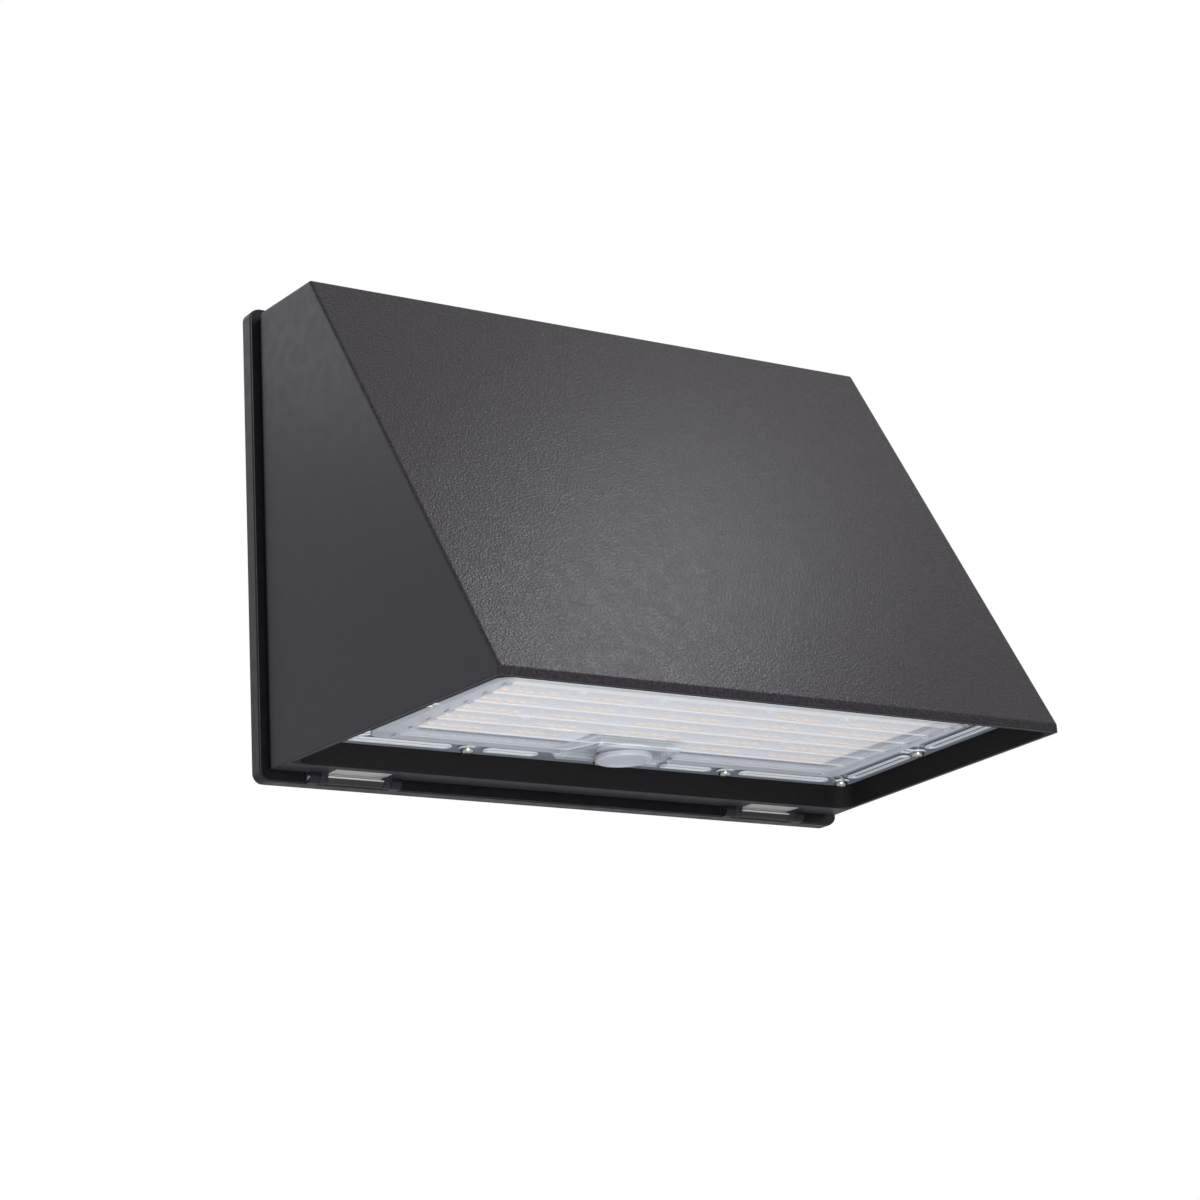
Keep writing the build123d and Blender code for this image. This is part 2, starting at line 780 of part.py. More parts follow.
def bead_lines():
    """Start and end of each bead, clear of the screw bosses and the sensor bay."""
    rear = lens_rear - lens_screw_inset
    front = lens_front + lens_screw_inset
    lines = []
    for side in (-1, 1):
        inner = side * (lens_screw_spacing + bead_end_gap)
        lines.append((inner, rear, side * (lens_side_x(rear) - bead_end_gap), rear))
        lines.append((inner, front, side * (lens_side_x(front) - bead_end_gap), front))
        lines.append((side * (bay_rear_half_width + lens_wall), rear,
                      side * (lens_screw_spacing - bead_end_gap), rear))
        lines.append((side * bead_end_gap, front, side * (lens_screw_spacing - bead_end_gap), front))
        for y0, y1 in ((rear - bead_end_gap, lens_middle + bead_end_gap),
                       (lens_middle - bead_end_gap, front + bead_end_gap)):
            lines.append((side * lens_side_x(y0), y0, side * lens_side_x(y1), y1))
    return lines


def flute_lines():
    """Middle of each flute, evenly spaced about the lens's middle."""
    first = lens_middle + flute_pitch * (flute_count - 1) / 2
    return [first - index * flute_pitch for index in range(flute_count)]


def flute_cutter(y):
    """Long round cutter that leaves one hollow flute."""
    half = (flute_pitch - flute_land) / 2
    radius = (half ** 2 + flute_depth ** 2) / (2 * flute_depth)
    return rod_x(-flute_half_length, flute_half_length, y, tray_face + flute_depth - radius, radius)


def crest_stops():
    """Small raised stop at each end of every crest between the flutes."""
    high = tray_face - crest_stop_height
    half = crest_stop_width / 2
    stops = []
    for index in range(flute_count + 1):
        y = lens_middle + flute_pitch * (flute_count / 2 - index)
        end = flute_half_length + crest_stop_length
        stop = block(flute_half_length, end, y - half, y + half, high, tray_face)
        stops += mirrored_pair(stop)
    return stops


def boss_ribs(x, y):
    """Two small ribs from a screw boss in to the nearest point of the tray."""
    tray_half_width = half_width(y) - lens_edge - lens_tray_inset
    inner_x = max(-tray_half_width, min(tray_half_width, x))
    inner_y = max(tray_front, min(tray_rear, y))
    length = math.hypot(inner_x - x, inner_y - y) + boss_rib_overlap
    turn = math.degrees(math.atan2(inner_y - y, inner_x - x))
    ribs = []
    for side in (-1, 1):
        rib = block(0, length, -boss_rib_width / 2, boss_rib_width / 2, -lens_boss_height, 0)
        ribs.append(Pos(x, y, flange_face) * Rot(0, 0, turn) * Pos(0, side * boss_rib_spacing / 2, 0) * rib)
    return ribs


def bay_prism(inset, z0, z1, flare):
    """Trapezoid bay, wider at its root by the flare."""
    def outline(extra):
        points = [
            (-bay_rear_half_width + inset - extra, bay_rear - inset + extra / 2),
            (bay_rear_half_width - inset + extra, bay_rear - inset + extra / 2),
            (bay_front_half_width - inset + extra, bay_front + inset - extra),
            (-bay_front_half_width + inset - extra, bay_front + inset - extra),
        ]
        return fillet(Polygon(*points, align=None).vertices(), bay_corner_radius)
    return loft([Pos(0, 0, z0) * outline(0), Pos(0, 0, z1) * outline(flare)])


def make_lens():
    """Clear cover: flange with grooved beads and screw bosses, fluted tray and sensor bay."""
    flange = plan_plate(lens_rear, lens_front, lens_edge, recess_corner_radius - lens_side_gap,
                        flange_face, flange_top)
    tray = plan_plate(tray_rear, tray_front, lens_edge + lens_tray_inset, lens_tray_corner_radius,
                      tray_face, flange_face)
    body = flange + tray
    for x, y in lens_screw_places():
        body = add_all(body, boss_ribs(x, y))
    hollow_floor = tray_face + lens_plate_thickness
    hollow_inset = lens_edge + lens_tray_inset + lens_wall
    body = body - plan_plate(tray_rear - lens_wall, tray_front + lens_wall, hollow_inset,
                             lens_tray_corner_radius - lens_wall, hollow_floor, flange_top + past)
    body = cut_all(body, [flute_cutter(y) for y in flute_lines()])
    body = add_all(body, crest_stops())
    body = add_all(body, [bead_segment(*line) for line in bead_lines()])
    body = body + bay_prism(0, bay_face, hollow_floor + bay_overlap, bay_flare)
    body = body - bay_prism(lens_wall, bay_face + lens_wall, flange_top + past, 0)
    body = body - rod_z(0, cap_y, bay_face - past, bay_face + 2 * lens_wall,
                        cap_neck_radius + cap_hole_gap)
    for x, y in lens_screw_places():
        body = body + rod_z(x, y, flange_face - lens_boss_height, flange_face, lens_boss_radius)
        body = body - rod_z(x, y, flange_face - 2 * lens_boss_height, flange_top + past,
                            lens_screw_hole_radius)
    return body


def make_lens_gasket():
    """Flat rubber ring between the lens flange and the shelf."""
    inset = lens_edge + lens_gasket_inset
    ring = plan_plate(lens_rear - lens_gasket_inset, lens_front + lens_gasket_inset, inset,
                      lens_tray_corner_radius, flange_top, shelf_under)
    width = lens_gasket_width
    ring = ring - plan_plate(lens_rear - lens_gasket_inset - width, lens_front + lens_gasket_inset + width,
                             inset + width, lens_tray_corner_radius, flange_top - past,
                             shelf_under + past)
    for x, y in lens_screw_places():
        ring = ring - rod_z(x, y, flange_top - past, shelf_under + past, lens_screw_hole_radius)
    return ring


def make_lens_screws():
    """Twelve pan head screws."""
    screw = pan_screw(pan_head_radius, pan_head_height, lens_screw_radius, lens_screw_length)
    return [Pos(x, y, flange_face - lens_boss_height) * screw for x, y in lens_screw_places()]


# Light board

board_rear = flute_lines()[0] + led_board_margin
board_front = flute_lines()[-1] - led_board_margin
notch_front = bay_front - board_notch_gap


def board_screw_places():
    """Six screws between the chip groups."""
    rows = flute_lines()
    ys = [(rows[1] + rows[2]) / 2, (rows[4] + rows[5]) / 2]
    outer = [(side * board_screw_x, y) for y in ys for side in (-1, 1)]
    return outer + [(side * board_screw_middle_x, ys[1]) for side in (-1, 1)]


def board_plate(z0, z1):
    """Board outline with a notch for the sensor at its rear edge."""
    plate = block(-led_board_half_width, led_board_half_width, board_front, board_rear, z0, z1)
    notch = block(-board_notch_half_width, board_notch_half_width, notch_front, board_rear + past,
                  z0 - past, z1 + past)
    plate = plate - notch
    for x, y in board_screw_places():
        plate = plate - rod_z(x, y, z0 - past, z1 + past, board_screw_radius + thread_gap)
    return plate


def chip_columns(row):
    """X of each chip in a row; the first row leaves out the middle, where the sensor is."""
    columns = []
    for index in range(outer_chip_count):
        columns.append(led_board_half_width - outer_chip_inset + index * chip_pitch)
    for index in range(inner_chip_count):
        columns.append(inner_chip_x + index * chip_pitch)
    if row > 0:
        for index in range(middle_chip_count // 2):
            columns.append((index + 0.5) * chip_pitch)
    return sorted([-x for x in columns] + columns)


def make_led_chips():
    """All light-emitting chips, one small block each."""
    chips = []
    for row, y in enumerate(flute_lines()):
        for x in chip_columns(row):
            chips.append(block(x - chip_length / 2, x + chip_length / 2, y - chip_width / 2,
                               y + chip_width / 2, board_under - chip_height, board_under))
    return chips


def make_board_screws():
    """Screws that hold the light board to the shelf."""
    screw = pan_screw(board_screw_head_radius, board_screw_head_height, board_screw_radius,
                      board_screw_length)
    return [Pos(x, y, board_under) * screw for x, y in board_screw_places()]


def make_led_connector():
    """Low connector on the board, left of the sensor."""
    y = (flute_lines()[0] + flute_lines()[1]) / 2
    body = block(-connector_x - connector_width / 2, -connector_x + connector_width / 2,
                 y - connector_length / 2, y + connector_length / 2,
                 board_under - connector_height, board_under)
    for side in (-1, 1):
        x = -connector_x + side * connector_width / 4
        mouth_start = y + connector_length / 2 - connector_mouth_depth
        body = body - block(x - connector_mouth_half, x + connector_mouth_half, mouth_start,
                            y + connector_length / 2 + past, board_under - connector_height,
                            board_under - connector_height / 3)
    return body


# Sensor

def make_sensor_cap():
    """Frosted round cap with a sunk window, its hollow neck through the bay's hole."""
    head = rod_z(0, cap_y, cap_face, bay_face, cap_radius)
    head = fillet(head.edges().group_by(Axis.Z)[0], cap_edge_radius)
    neck_top = bay_face + lens_wall + sensor_ring_height
    cap = head + rod_z(0, cap_y, bay_face, neck_top, cap_neck_radius)
    cap = cap - rod_z(0, cap_y, cap_face + cap_window_recess + cap_wall, neck_top + past,
                      cap_neck_radius - cap_wall)
    return cap - rod_z(0, cap_y, cap_face - past, cap_face + cap_window_recess, cap_window_radius)


def make_sensor_ring():
    """Ring on the cap's neck that holds it in the bay."""
    base = bay_face + lens_wall
    ring = rod_z(0, cap_y, base, base + sensor_ring_height, sensor_ring_radius)
    return ring - rod_z(0, cap_y, base - past, base + 2 * sensor_ring_height, cap_neck_radius + seat_gap)


def make_sensor_holder():
    """Plastic frame that spaces the sensor's board off the shelf."""
    base = shelf_under - sensor_holder_height
    half_x = sensor_board_width / 2
    half_y = sensor_board_length / 2
    frame = block(-half_x, half_x, cap_y - half_y, cap_y + half_y, base, shelf_under)
    clear_x = half_x - sensor_holder_wall
    clear_y = half_y - sensor_holder_wall
    return frame - block(-clear_x, clear_x, cap_y - clear_y, cap_y + clear_y, base - past,
                         shelf_under + past)


def make_sensor_board():
    """Small board under its holder."""
    high = shelf_under - sensor_holder_height
    half_x = sensor_board_width / 2
    half_y = sensor_board_length / 2
    return block(-half_x, half_x, cap_y - half_y, cap_y + half_y, high - sensor_board_thickness, high)


def make_photocell():
    """Domed light cell that looks down through the cap."""
    high = shelf_under - sensor_holder_height - sensor_board_thickness
    cell = rod_z(0, cap_y, high - photocell_height, high, photocell_radius)
    return fillet(cell.edges().group_by(Axis.Z)[0], photocell_dome_radius)


# Driver and wiring

driver_rear = lens_rear - lens_screw_inset - housing_boss_radius - driver_gap_to_bosses
driver_y = driver_rear - driver_width / 2
terminal_y = driver_rear - terminal_length / 2
surge_y = driver_rear - terminal_length - surge_gap_to_terminal - surge_length / 2
lead_grommet_x = -led_board_half_width - lead_grommet_radius - lead_grommet_gap
lead_grommet_y = (flute_lines()[0] + flute_lines()[1]) / 2


def driver_screw_places():
    """One screw in each foot of the driver."""
    reach = driver_length / 2 + driver_foot_length / 2
    return [(driver_x - reach, driver_y), (driver_x + reach, driver_y)]


def surge_screw_places():
    """One screw in each ear of the surge protector."""
    reach = surge_width / 2 + surge_foot_length / 2
    return [(surge_x - reach, surge_y), (surge_x + reach, surge_y)]


def make_driver():
    """Closed power supply case with a screw foot at each end."""
    half = driver_length / 2
    case = block(driver_x - half, driver_x + half, driver_y - driver_width / 2,
                 driver_y + driver_width / 2, shelf_top, shelf_top + driver_height)
    case = fillet(case.edges().filter_by(Axis.X), driver_edge_radius)
    reach = half + driver_foot_length
    feet = block(driver_x - reach, driver_x + reach, driver_y - driver_width / 4,
                 driver_y + driver_width / 4, shelf_top, shelf_top + driver_foot_thickness)
    body = case + feet
    for x, y in driver_screw_places():
        body = body - rod_z(x, y, shelf_top - past, shelf_top + 2 * driver_foot_thickness,
                            driver_screw_radius + thread_gap)
    return body


def make_surge_protector():
    """Potted block with two ears."""
    half_x = surge_width / 2
    half_y = surge_length / 2
    case = block(surge_x - half_x, surge_x + half_x, surge_y - half_y, surge_y + half_y,
                 shelf_top, shelf_top + surge_height)
    case = fillet(case.edges().filter_by(Axis.Z), driver_edge_radius)
    reach = half_x + surge_foot_length
    ears = block(surge_x - reach, surge_x + reach, surge_y - half_y / 2, surge_y + half_y / 2,
                 shelf_top, shelf_top + driver_foot_thickness)
    body = case + ears
    for x, y in surge_screw_places():
        body = body - rod_z(x, y, shelf_top - past, shelf_top + 2 * driver_foot_thickness,
                            driver_screw_radius + thread_gap)
    return body


def foot_screws(places):
    """Pan head screws down through feet that lie on the shelf."""
    screw = pan_screw(pan_head_radius, pan_head_height, driver_screw_radius, driver_screw_length)
    seat = shelf_top + driver_foot_thickness
    return [Pos(x, y, seat) * Rot(180, 0, 0) * screw for x, y in places]


def pole_places():
    """X of each pole of the terminal block."""
    pitch = terminal_width / terminal_poles
    first = surge_x - pitch * (terminal_poles - 1) / 2
    return [first + index * pitch for index in range(terminal_poles)]


def make_terminal_block():
    """Three-pole block with a wire mouth at each side of every pole."""
    half_x = terminal_width / 2
    half_y = terminal_length / 2
    body = block(surge_x - half_x, surge_x + half_x, terminal_y - half_y, terminal_y + half_y,
                 shelf_top, shelf_top + terminal_height)
    body = chamfer(body.edges().filter_by(Axis.X).group_by(Axis.Z)[-1], terminal_chamfer)
    for x in pole_places():
        for side in (-1, 1):
            body = body - rod_y(x, terminal_y + side * (half_y + past),
                                terminal_y + side * (half_y - terminal_mouth_depth),
                                shelf_top + terminal_mouth_height, lead_radius + lead_clearance)
        body = body - rod_z(x, terminal_y, shelf_top + terminal_height - terminal_screw_height,
                            shelf_top + terminal_height + past, terminal_screw_radius + thread_gap)
    return body


def make_terminal_screws():
    """Slotted clamp screws in the terminal block."""
    screws = []
    base = shelf_top + terminal_height - terminal_screw_height
    for x in pole_places():
        screw = rod_z(x, terminal_y, base, base + terminal_screw_height, terminal_screw_radius)
        slot = block(x - terminal_screw_radius, x + terminal_screw_radius, terminal_y - terminal_slot_half,
                     terminal_y + terminal_slot_half, base + terminal_screw_height / 2,
                     base + terminal_screw_height + past)
        screws.append(screw - slot)
    return screws


def lead(points, radius, bends):
    """Insulated wire along straight runs joined by round bends."""
    path = FilletPolyline(*points, radius=bends)
    start = Plane(origin=path @ 0, z_dir=path % 0)
    return sweep(start * Circle(radius), path=path)


def make_supply_leads():
    """Wires from the driver's end to the terminal block's front mouths."""
    leads = []
    driver_end = driver_x + driver_length / 2
    z = shelf_top + terminal_mouth_height
    front = terminal_y - terminal_length / 2
    mouth = front + terminal_mouth_depth - lead_end_gap
    pitch = 3 * lead_radius
    for index, x in enumerate(pole_places()):
        turn_y = front - lead_bend - lead_run_gap - (terminal_poles - 1 - index) * pitch
        leads.append(lead([(driver_end, turn_y, z), (x, turn_y, z), (x, mouth, z)], lead_radius, lead_bend))
    return leads


def make_led_leads():
    """Two wires from the driver's other end down through the shelf's grommet and in under the board."""
    leads = []
    driver_end = driver_x - driver_length / 2
    high = shelf_top + driver_height / 2
    low = board_under - board_lead_radius
    for side in (-1, 1):
        y = lead_grommet_y + side * (board_lead_radius + lead_clearance)
        points = [(driver_end, y, high), (lead_grommet_x, y, high), (lead_grommet_x, y, low),
                  (lead_grommet_x + board_lead_reach, y, low)]
        leads.append(lead(points, board_lead_radius, [lead_bend, board_lead_bend]))
    return leads


def make_lead_grommet():
    """Rubber grommet in the shelf."""
    neck = rod_z(lead_grommet_x, lead_grommet_y, shelf_under, shelf_top, lead_grommet_radius)
    flange = rod_z(lead_grommet_x, lead_grommet_y, shelf_top, shelf_top + lead_grommet_flange,
                   lead_grommet_radius + lead_grommet_overlap)
    body = neck + flange
    hole = 2 * board_lead_radius + 2 * lead_clearance
    return body - rod_z(lead_grommet_x, lead_grommet_y, shelf_under - past,
                        shelf_top + 3 * lead_grommet_flange, hole)


def main():
    """Make every sub-part and write it to its file."""
    os.makedirs("parts", exist_ok=True)
    save("back_box", make_back_box())
    save("housing_gasket", make_housing_gasket())
    save("wall_gasket", foam_ring())
    save("wire_grommet", make_wire_grommet())
    save("ground_screw", make_ground_screw())
    save("hinge_pins", [hinge_pin(centre) for centre in hinge_centres])
    save("front_housing", make_front_housing())
    save("hinge_plates", [hinge_leaf(centre) for centre in hinge_centres])
    save("cover_screws", [cover_screw(centre) for centre in arm_centres])
    save("cover_screw_seals", [cover_screw_seal(centre) for centre in arm_centres])
    save("cover_screw_nuts", [cover_screw_nut(centre) for centre in arm_centres])
    save("lens", make_lens())
    save("lens_gasket", make_lens_gasket())
    save("lens_screws", make_lens_screws())
    save("thermal_pad", board_plate(shelf_under - thermal_pad_thickness, shelf_under))
    save("led_board", board_plate(board_under, board_under + led_board_thickness))
    save("led_chips", make_led_chips())
    save("led_board_screws", make_board_screws())
    save("led_connector", make_led_connector())
    save("sensor_cap", make_sensor_cap())
    save("sensor_ring", make_sensor_ring())
    save("sensor_holder", make_sensor_holder())
    save("sensor_board", make_sensor_board())
    save("photocell", make_photocell())
    save("driver", make_driver())
    save("driver_screws", foot_screws(driver_screw_places()))
    save("surge_protector", make_surge_protector())
    save("surge_protector_screws", foot_screws(surge_screw_places()))
    save("terminal_block", make_terminal_block())
    save("terminal_screws", make_terminal_screws())
    save("supply_leads", make_supply_leads())
    save("led_leads", make_led_leads())
    save("lead_grommet", make_lead_grommet())


main()
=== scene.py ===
import math

import bmesh
import bpy
from bpy.props import FloatProperty, FloatVectorProperty, IntProperty, PointerProperty
from mathutils import Matrix, Vector


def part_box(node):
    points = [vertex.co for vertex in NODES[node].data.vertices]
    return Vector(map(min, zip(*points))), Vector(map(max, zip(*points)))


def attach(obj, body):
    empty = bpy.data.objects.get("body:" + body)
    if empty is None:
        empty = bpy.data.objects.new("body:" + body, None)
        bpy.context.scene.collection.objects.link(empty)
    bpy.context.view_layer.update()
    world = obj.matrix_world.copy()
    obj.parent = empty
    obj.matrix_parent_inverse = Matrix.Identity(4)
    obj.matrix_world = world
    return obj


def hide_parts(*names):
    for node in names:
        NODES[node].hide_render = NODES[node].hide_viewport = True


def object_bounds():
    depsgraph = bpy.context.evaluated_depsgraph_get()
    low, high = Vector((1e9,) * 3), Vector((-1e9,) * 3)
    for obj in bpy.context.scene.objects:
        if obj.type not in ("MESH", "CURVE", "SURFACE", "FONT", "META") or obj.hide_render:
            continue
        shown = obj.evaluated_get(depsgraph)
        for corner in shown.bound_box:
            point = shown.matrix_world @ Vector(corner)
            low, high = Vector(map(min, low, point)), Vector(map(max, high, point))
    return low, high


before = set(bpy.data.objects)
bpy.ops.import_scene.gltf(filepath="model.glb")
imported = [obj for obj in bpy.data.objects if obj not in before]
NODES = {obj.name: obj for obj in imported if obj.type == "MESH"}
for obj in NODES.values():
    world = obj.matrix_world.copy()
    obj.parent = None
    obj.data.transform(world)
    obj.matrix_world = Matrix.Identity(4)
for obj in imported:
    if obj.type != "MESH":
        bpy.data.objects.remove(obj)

bl_info = {
    "name": "Wall pack light looks",
    "version": (1, 0, 0),
    "blender": (4, 5, 0),
    "location": "3D View > Sidebar > Wall pack",
    "description": "Finishes, small detail and stage for a hinged wall pack light",
    "category": "Object",
}

CAD_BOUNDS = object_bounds()
FRONT_BODY = "front"
HOUSING_LOW, HOUSING_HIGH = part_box("front_housing")
HOUSING_MIDDLE = (HOUSING_LOW + HOUSING_HIGH) / 2
LENS_LOW, LENS_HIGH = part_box("lens")

# Sizes of the solids that the finishes follow, in metres
FLANGE_THICKNESS = 0.0025
FLANGE_FACE = LENS_HIGH.z - FLANGE_THICKNESS
LENS_EDGE = 0.0036
TRAY_INSET = 0.024
TRAY_DROP = 0.0025
FLUTE_DEPTH = 0.0013
BEAD_DROP = 0.0015
RECESS_WALL = 0.0028
BAY_LENGTH = 0.031
BAY_REAR_HALF = 0.034
BAY_FRONT_HALF = 0.023
BAY_FLARE = 0.0016

# Where finishes begin and end, in metres: past the lens, up from the housing's rim, from the
# cover's tray or flange face, past the light board, and half the width of a soft change
REAR_REACH = 0.0016
SHELF_REACH = 0.0022
RIM_MARGIN = 0.0005
ROLL_TOP = (0.0026, 0.0030)
CREST_BAND = (0.00012, 0.00030)
GROOVE_BAND = (-0.0011, -0.0004)
SIDE_BREAK = (-0.0009, -0.0007)
BOARD_MARGIN = 0.001
BOARD_FRONT_MARGIN = 0.006
SOFT_EDGE = 0.0003

# Values that several finishes share
FINE = 3.0
NOISE_SPAN = (0.3, 0.7)
STROKE_SPAN = (0.25, 0.75)
STROKE_ROUGHNESS = 0.6
ROUGHNESS_SPREAD = 0.06
SHALLOW_RELIEF = 0.00003
SKIN_RELIEF = 0.00005
POLYCARBONATE_IOR = 1.58

# Colours that a user wouldn't change
WHITE = (1.0, 1.0, 1.0)
FOAM = ((0.03, 0.03, 0.032), (0.075, 0.075, 0.08))
PAD = ((0.16, 0.18, 0.21), (0.22, 0.24, 0.27))
PALE_SCREW = (0.82, 0.83, 0.85)
GREEN_SCREW = (0.03, 0.23, 0.08)
CONNECTOR = (0.78, 0.78, 0.76)
CHIP_PACKAGE = (0.93, 0.74, 0.50)
NYLON = (0.74, 0.75, 0.76)
SENSOR_BOARD = (0.02, 0.12, 0.05)
PHOTOCELL_RESIN = (0.20, 0.06, 0.04)
DRIVER_PAINT = (0.66, 0.66, 0.65)
POTTING = (0.012, 0.012, 0.013)
TERMINAL_NYLON = (0.70, 0.69, 0.64)
SUPPLY_LEADS = ((0.014, 0.014, 0.015), (0.60, 0.60, 0.58), (0.02, 0.16, 0.05))
BOARD_LEADS = ((0.32, 0.015, 0.012), (0.012, 0.012, 0.013))

# Shape of a pan head, as shares of its radius or height
DOME_STEPS = 7
DOME_FLAT, DOME_SWELL = 0.42, 0.52
SLOT_REACH, SLOT_WIDTH, SLOT_DEPTH = 0.62, 0.13, 0.42
HEAD_SHARE = 0.56
TIP_SHARE = 0.6
CUT_CLEARANCE = 0.001
EVEN_STROKES = (500.0, 500.0, 500.0)

# Floor, in metres, and each lamp's name, place, target, size, power and tint
FLOOR_HALF = 6
FLOOR_THICKNESS = 0.01
LAMPS = (
    ("key_lamp", (0.25, -0.30, 0.47), (-0.11, -0.195, -0.09), 0.15, 1.45, (0.93, 0.94, 1.0)),
    ("left_lamp", (-0.55, 0.42, 0.42), (-0.16, -0.08, 0.06), 0.3, 0.65, (0.90, 0.92, 1.0)),
    ("low_lamp", (-0.35, -0.95, -0.50), HOUSING_MIDDLE, 0.6, 8.0, (0.97, 0.97, 1.0)),
)


# Settings that a user would change

def colour(name, description, default):
    """Colour property with three channels."""
    return FloatVectorProperty(name=name, description=description, default=default,
                               subtype="COLOR", size=3, min=0, max=1)


def length(name, description, default):
    """Length property in metres."""
    return FloatProperty(name=name, description=description, default=default, min=0, unit="LENGTH",
                         precision=5)


def share(name, description, default):
    """Plain number between 0 and 1."""
    return FloatProperty(name=name, description=description, default=default, min=0, max=1,
                         subtype="FACTOR")


class WallpackFinishes(bpy.types.PropertyGroup):
    """Colours and grain of the surfaces."""
    coat: colour("Powder coat", "Textured powder coat of the front housing",
                 (0.0245, 0.0205, 0.0245))
    side_coat: colour("Side coat", "Smooth coat of the housing's side walls",
                      (0.0245, 0.0238, 0.0305))
    coat_gloss: share("Coat gloss", "Specular level of the powder coat", 0.13)
    coat_grain: length("Coat grain", "Width of one bump of the textured coat", 0.0010)
    coat_relief: length("Coat relief", "Height of the coat's bumps", 0.00018)
    edge_radius: length("Edge radius", "Softness of the housing's cast edges", 0.0010)
    coat_roughness: share("Coat roughness", "Roughness of the textured coat", 0.34)
    side_roughness: share("Side roughness", "Roughness of the smooth side walls", 0.36)
    # Painted shade: the near black recess colour stands in for the shade inside the light recess.
    recess_painted_shade: colour("Recess painted shade", "Shade painted inside the light recess",
                        (0.0100, 0.0094, 0.0100))
    tray_coat: colour("Back box coat", "Satin coat of the back box", (0.0145, 0.0138, 0.0175))
    rubber: colour("Rubber", "Moulded rubber ring", (0.0055, 0.0055, 0.0075))
    gasket: colour("Cover gasket", "Silicone gasket behind the cover's flange", (0.16, 0.18, 0.21))
    steel: colour("Stainless", "Hinge leaves and pins", (0.72, 0.715, 0.70))
    # The leaf's roll round the pin is coloured dark.
    roll: colour("Leaf roll", "Dark colour on the leaf's roll", (0.02, 0.02, 0.022))
    zinc: colour("Screw plate", "Bright plate of the small screws", (0.63, 0.62, 0.60))
    cover: colour("Cover", "Tint of the cover over the light board", (0.80, 0.82, 0.87))
    # Painted light: the flute, crest, rim, margin, bead, edge and sensor bay colours paint
    # highlights and shade on the clear cover; rim, margin and bay stand in for the dark parts seen
    # through it.
    cover_flute_shade: colour("Cover flute shade", "Shade painted at the middle of each flute", (0.70, 0.725, 0.79))
    cover_crest_highlight: colour("Cover crest highlight", "Highlight painted on the crest line between two flutes", (0.95, 0.96, 0.98))
    cover_rim_shade: colour("Cover rim shade", "Shade painted on the cover's flange", (0.30, 0.345, 0.40))
    cover_margin_shade: colour("Cover margin shade", "Shade painted on the tray round the flutes", (0.50, 0.54, 0.60))
    cover_bead_highlight: colour("Cover bead highlight", "Top of the flange's raised beads", (0.92, 0.94, 0.97))
    cover_edge_shade: colour("Cover edge shade", "Upright edges and grooves of the flange",
                       (0.09, 0.105, 0.125))
    cover_bay_shade: colour("Sensor bay shade", "Shade painted on the bay round the sensor cap", (0.34, 0.38, 0.44))
    cover_haze: share("Cover haze", "How milky the cover is over the board", 0.37)
    rim_haze: share("Rim haze", "How milky the flange is", 0.78)
    bay_haze: share("Bay haze", "How milky the sensor bay is", 0.30)
    inner_haze: share("Inner haze", "Share of the haze that the faces on the inside keep", 0.10)
    cap: colour("Sensor cap", "Frosted cap of the light sensor", (0.62, 0.655, 0.73))
    mask: colour("Board coat", "White coat of the light board", (0.84, 0.85, 0.87))
    phosphor: colour("Phosphor", "Amber face of each light chip", (1.0, 0.46, 0.03))


class WallpackDetail(bpy.types.PropertyGroup):
    """Sizes of the small pieces that are made here."""
    chip_wall: length("Chip wall", "Width of the rim round the phosphor", 0.0004)
    chip_well: length("Chip well", "Depth of the phosphor's well", 0.00015)
    screw_seed: IntProperty(name="Screw seed", default=4,
                            description="Seed for how far each screw is turned")
    head_flange: length("Head flange", "Thin flange under each pan head", 0.0004)
    thread_pitch: length("Thread pitch", "Rise of the small screws' threads", 0.0008)
    thread_depth: length("Thread depth", "Depth of the small screws' threads", 0.0003)


class WallpackStage(bpy.types.PropertyGroup):
    """Camera, floor and light."""
    azimuth: FloatProperty(name="Azimuth", description="Camera's turn round the light",
                           default=math.radians(-33.1), subtype="ANGLE")
    elevation: FloatProperty(name="Elevation", description="Camera's angle above the horizon",
                             default=math.radians(-15.8), subtype="ANGLE")
    roll: FloatProperty(name="Roll", description="Camera's turn about its own axis",
                        default=math.radians(-3.1), subtype="ANGLE")
    distance: length("Distance", "Camera to the point it looks at", 1.4305)
    aim: FloatVectorProperty(name="Aim", description="Point that the camera looks at",
                             subtype="TRANSLATION", size=3, default=(-0.0322, -0.1, -0.0406))
    lens: FloatProperty(name="Lens", description="Focal length in millimetres", default=90.0,
                        min=1.0)
    floor_drop: length("Floor drop", "Floor's distance under the light", 0.62)
    paper: colour("Paper", "White of the floor", (0.80, 0.80, 0.81))
    lift: share("Lift", "How far the floor is lifted towards white for the camera", 0.45)
    fill: share("Fill", "Strength of the even light from all round", 0.55)


SETTINGS = (
    ("wallpack_finishes", WallpackFinishes),
    ("wallpack_detail", WallpackDetail),
    ("wallpack_stage", WallpackStage),
)


# Places read from the frame's own meshes

def slope_face():
    """The largest face of the housing's front that leans forward and up."""
    faces = [face for face in NODES["front_housing"].data.polygons
             if face.normal.y < -0.5 and face.normal.z > 0.3]
    return max(faces, key=lambda face: face.area)


def side_taper():
    """Half width of the housing at its rear, and how fast it narrows toward the front."""
    corners = [v.co for v in NODES["front_housing"].data.vertices]
    front_band = 0.003
    front = [c for c in corners if c.y < HOUSING_LOW.y + front_band]
    widest = max(front, key=lambda c: c.x)
    return HOUSING_HIGH.x, (HOUSING_HIGH.x - widest.x) / (HOUSING_HIGH.y - widest.y)


# Materials

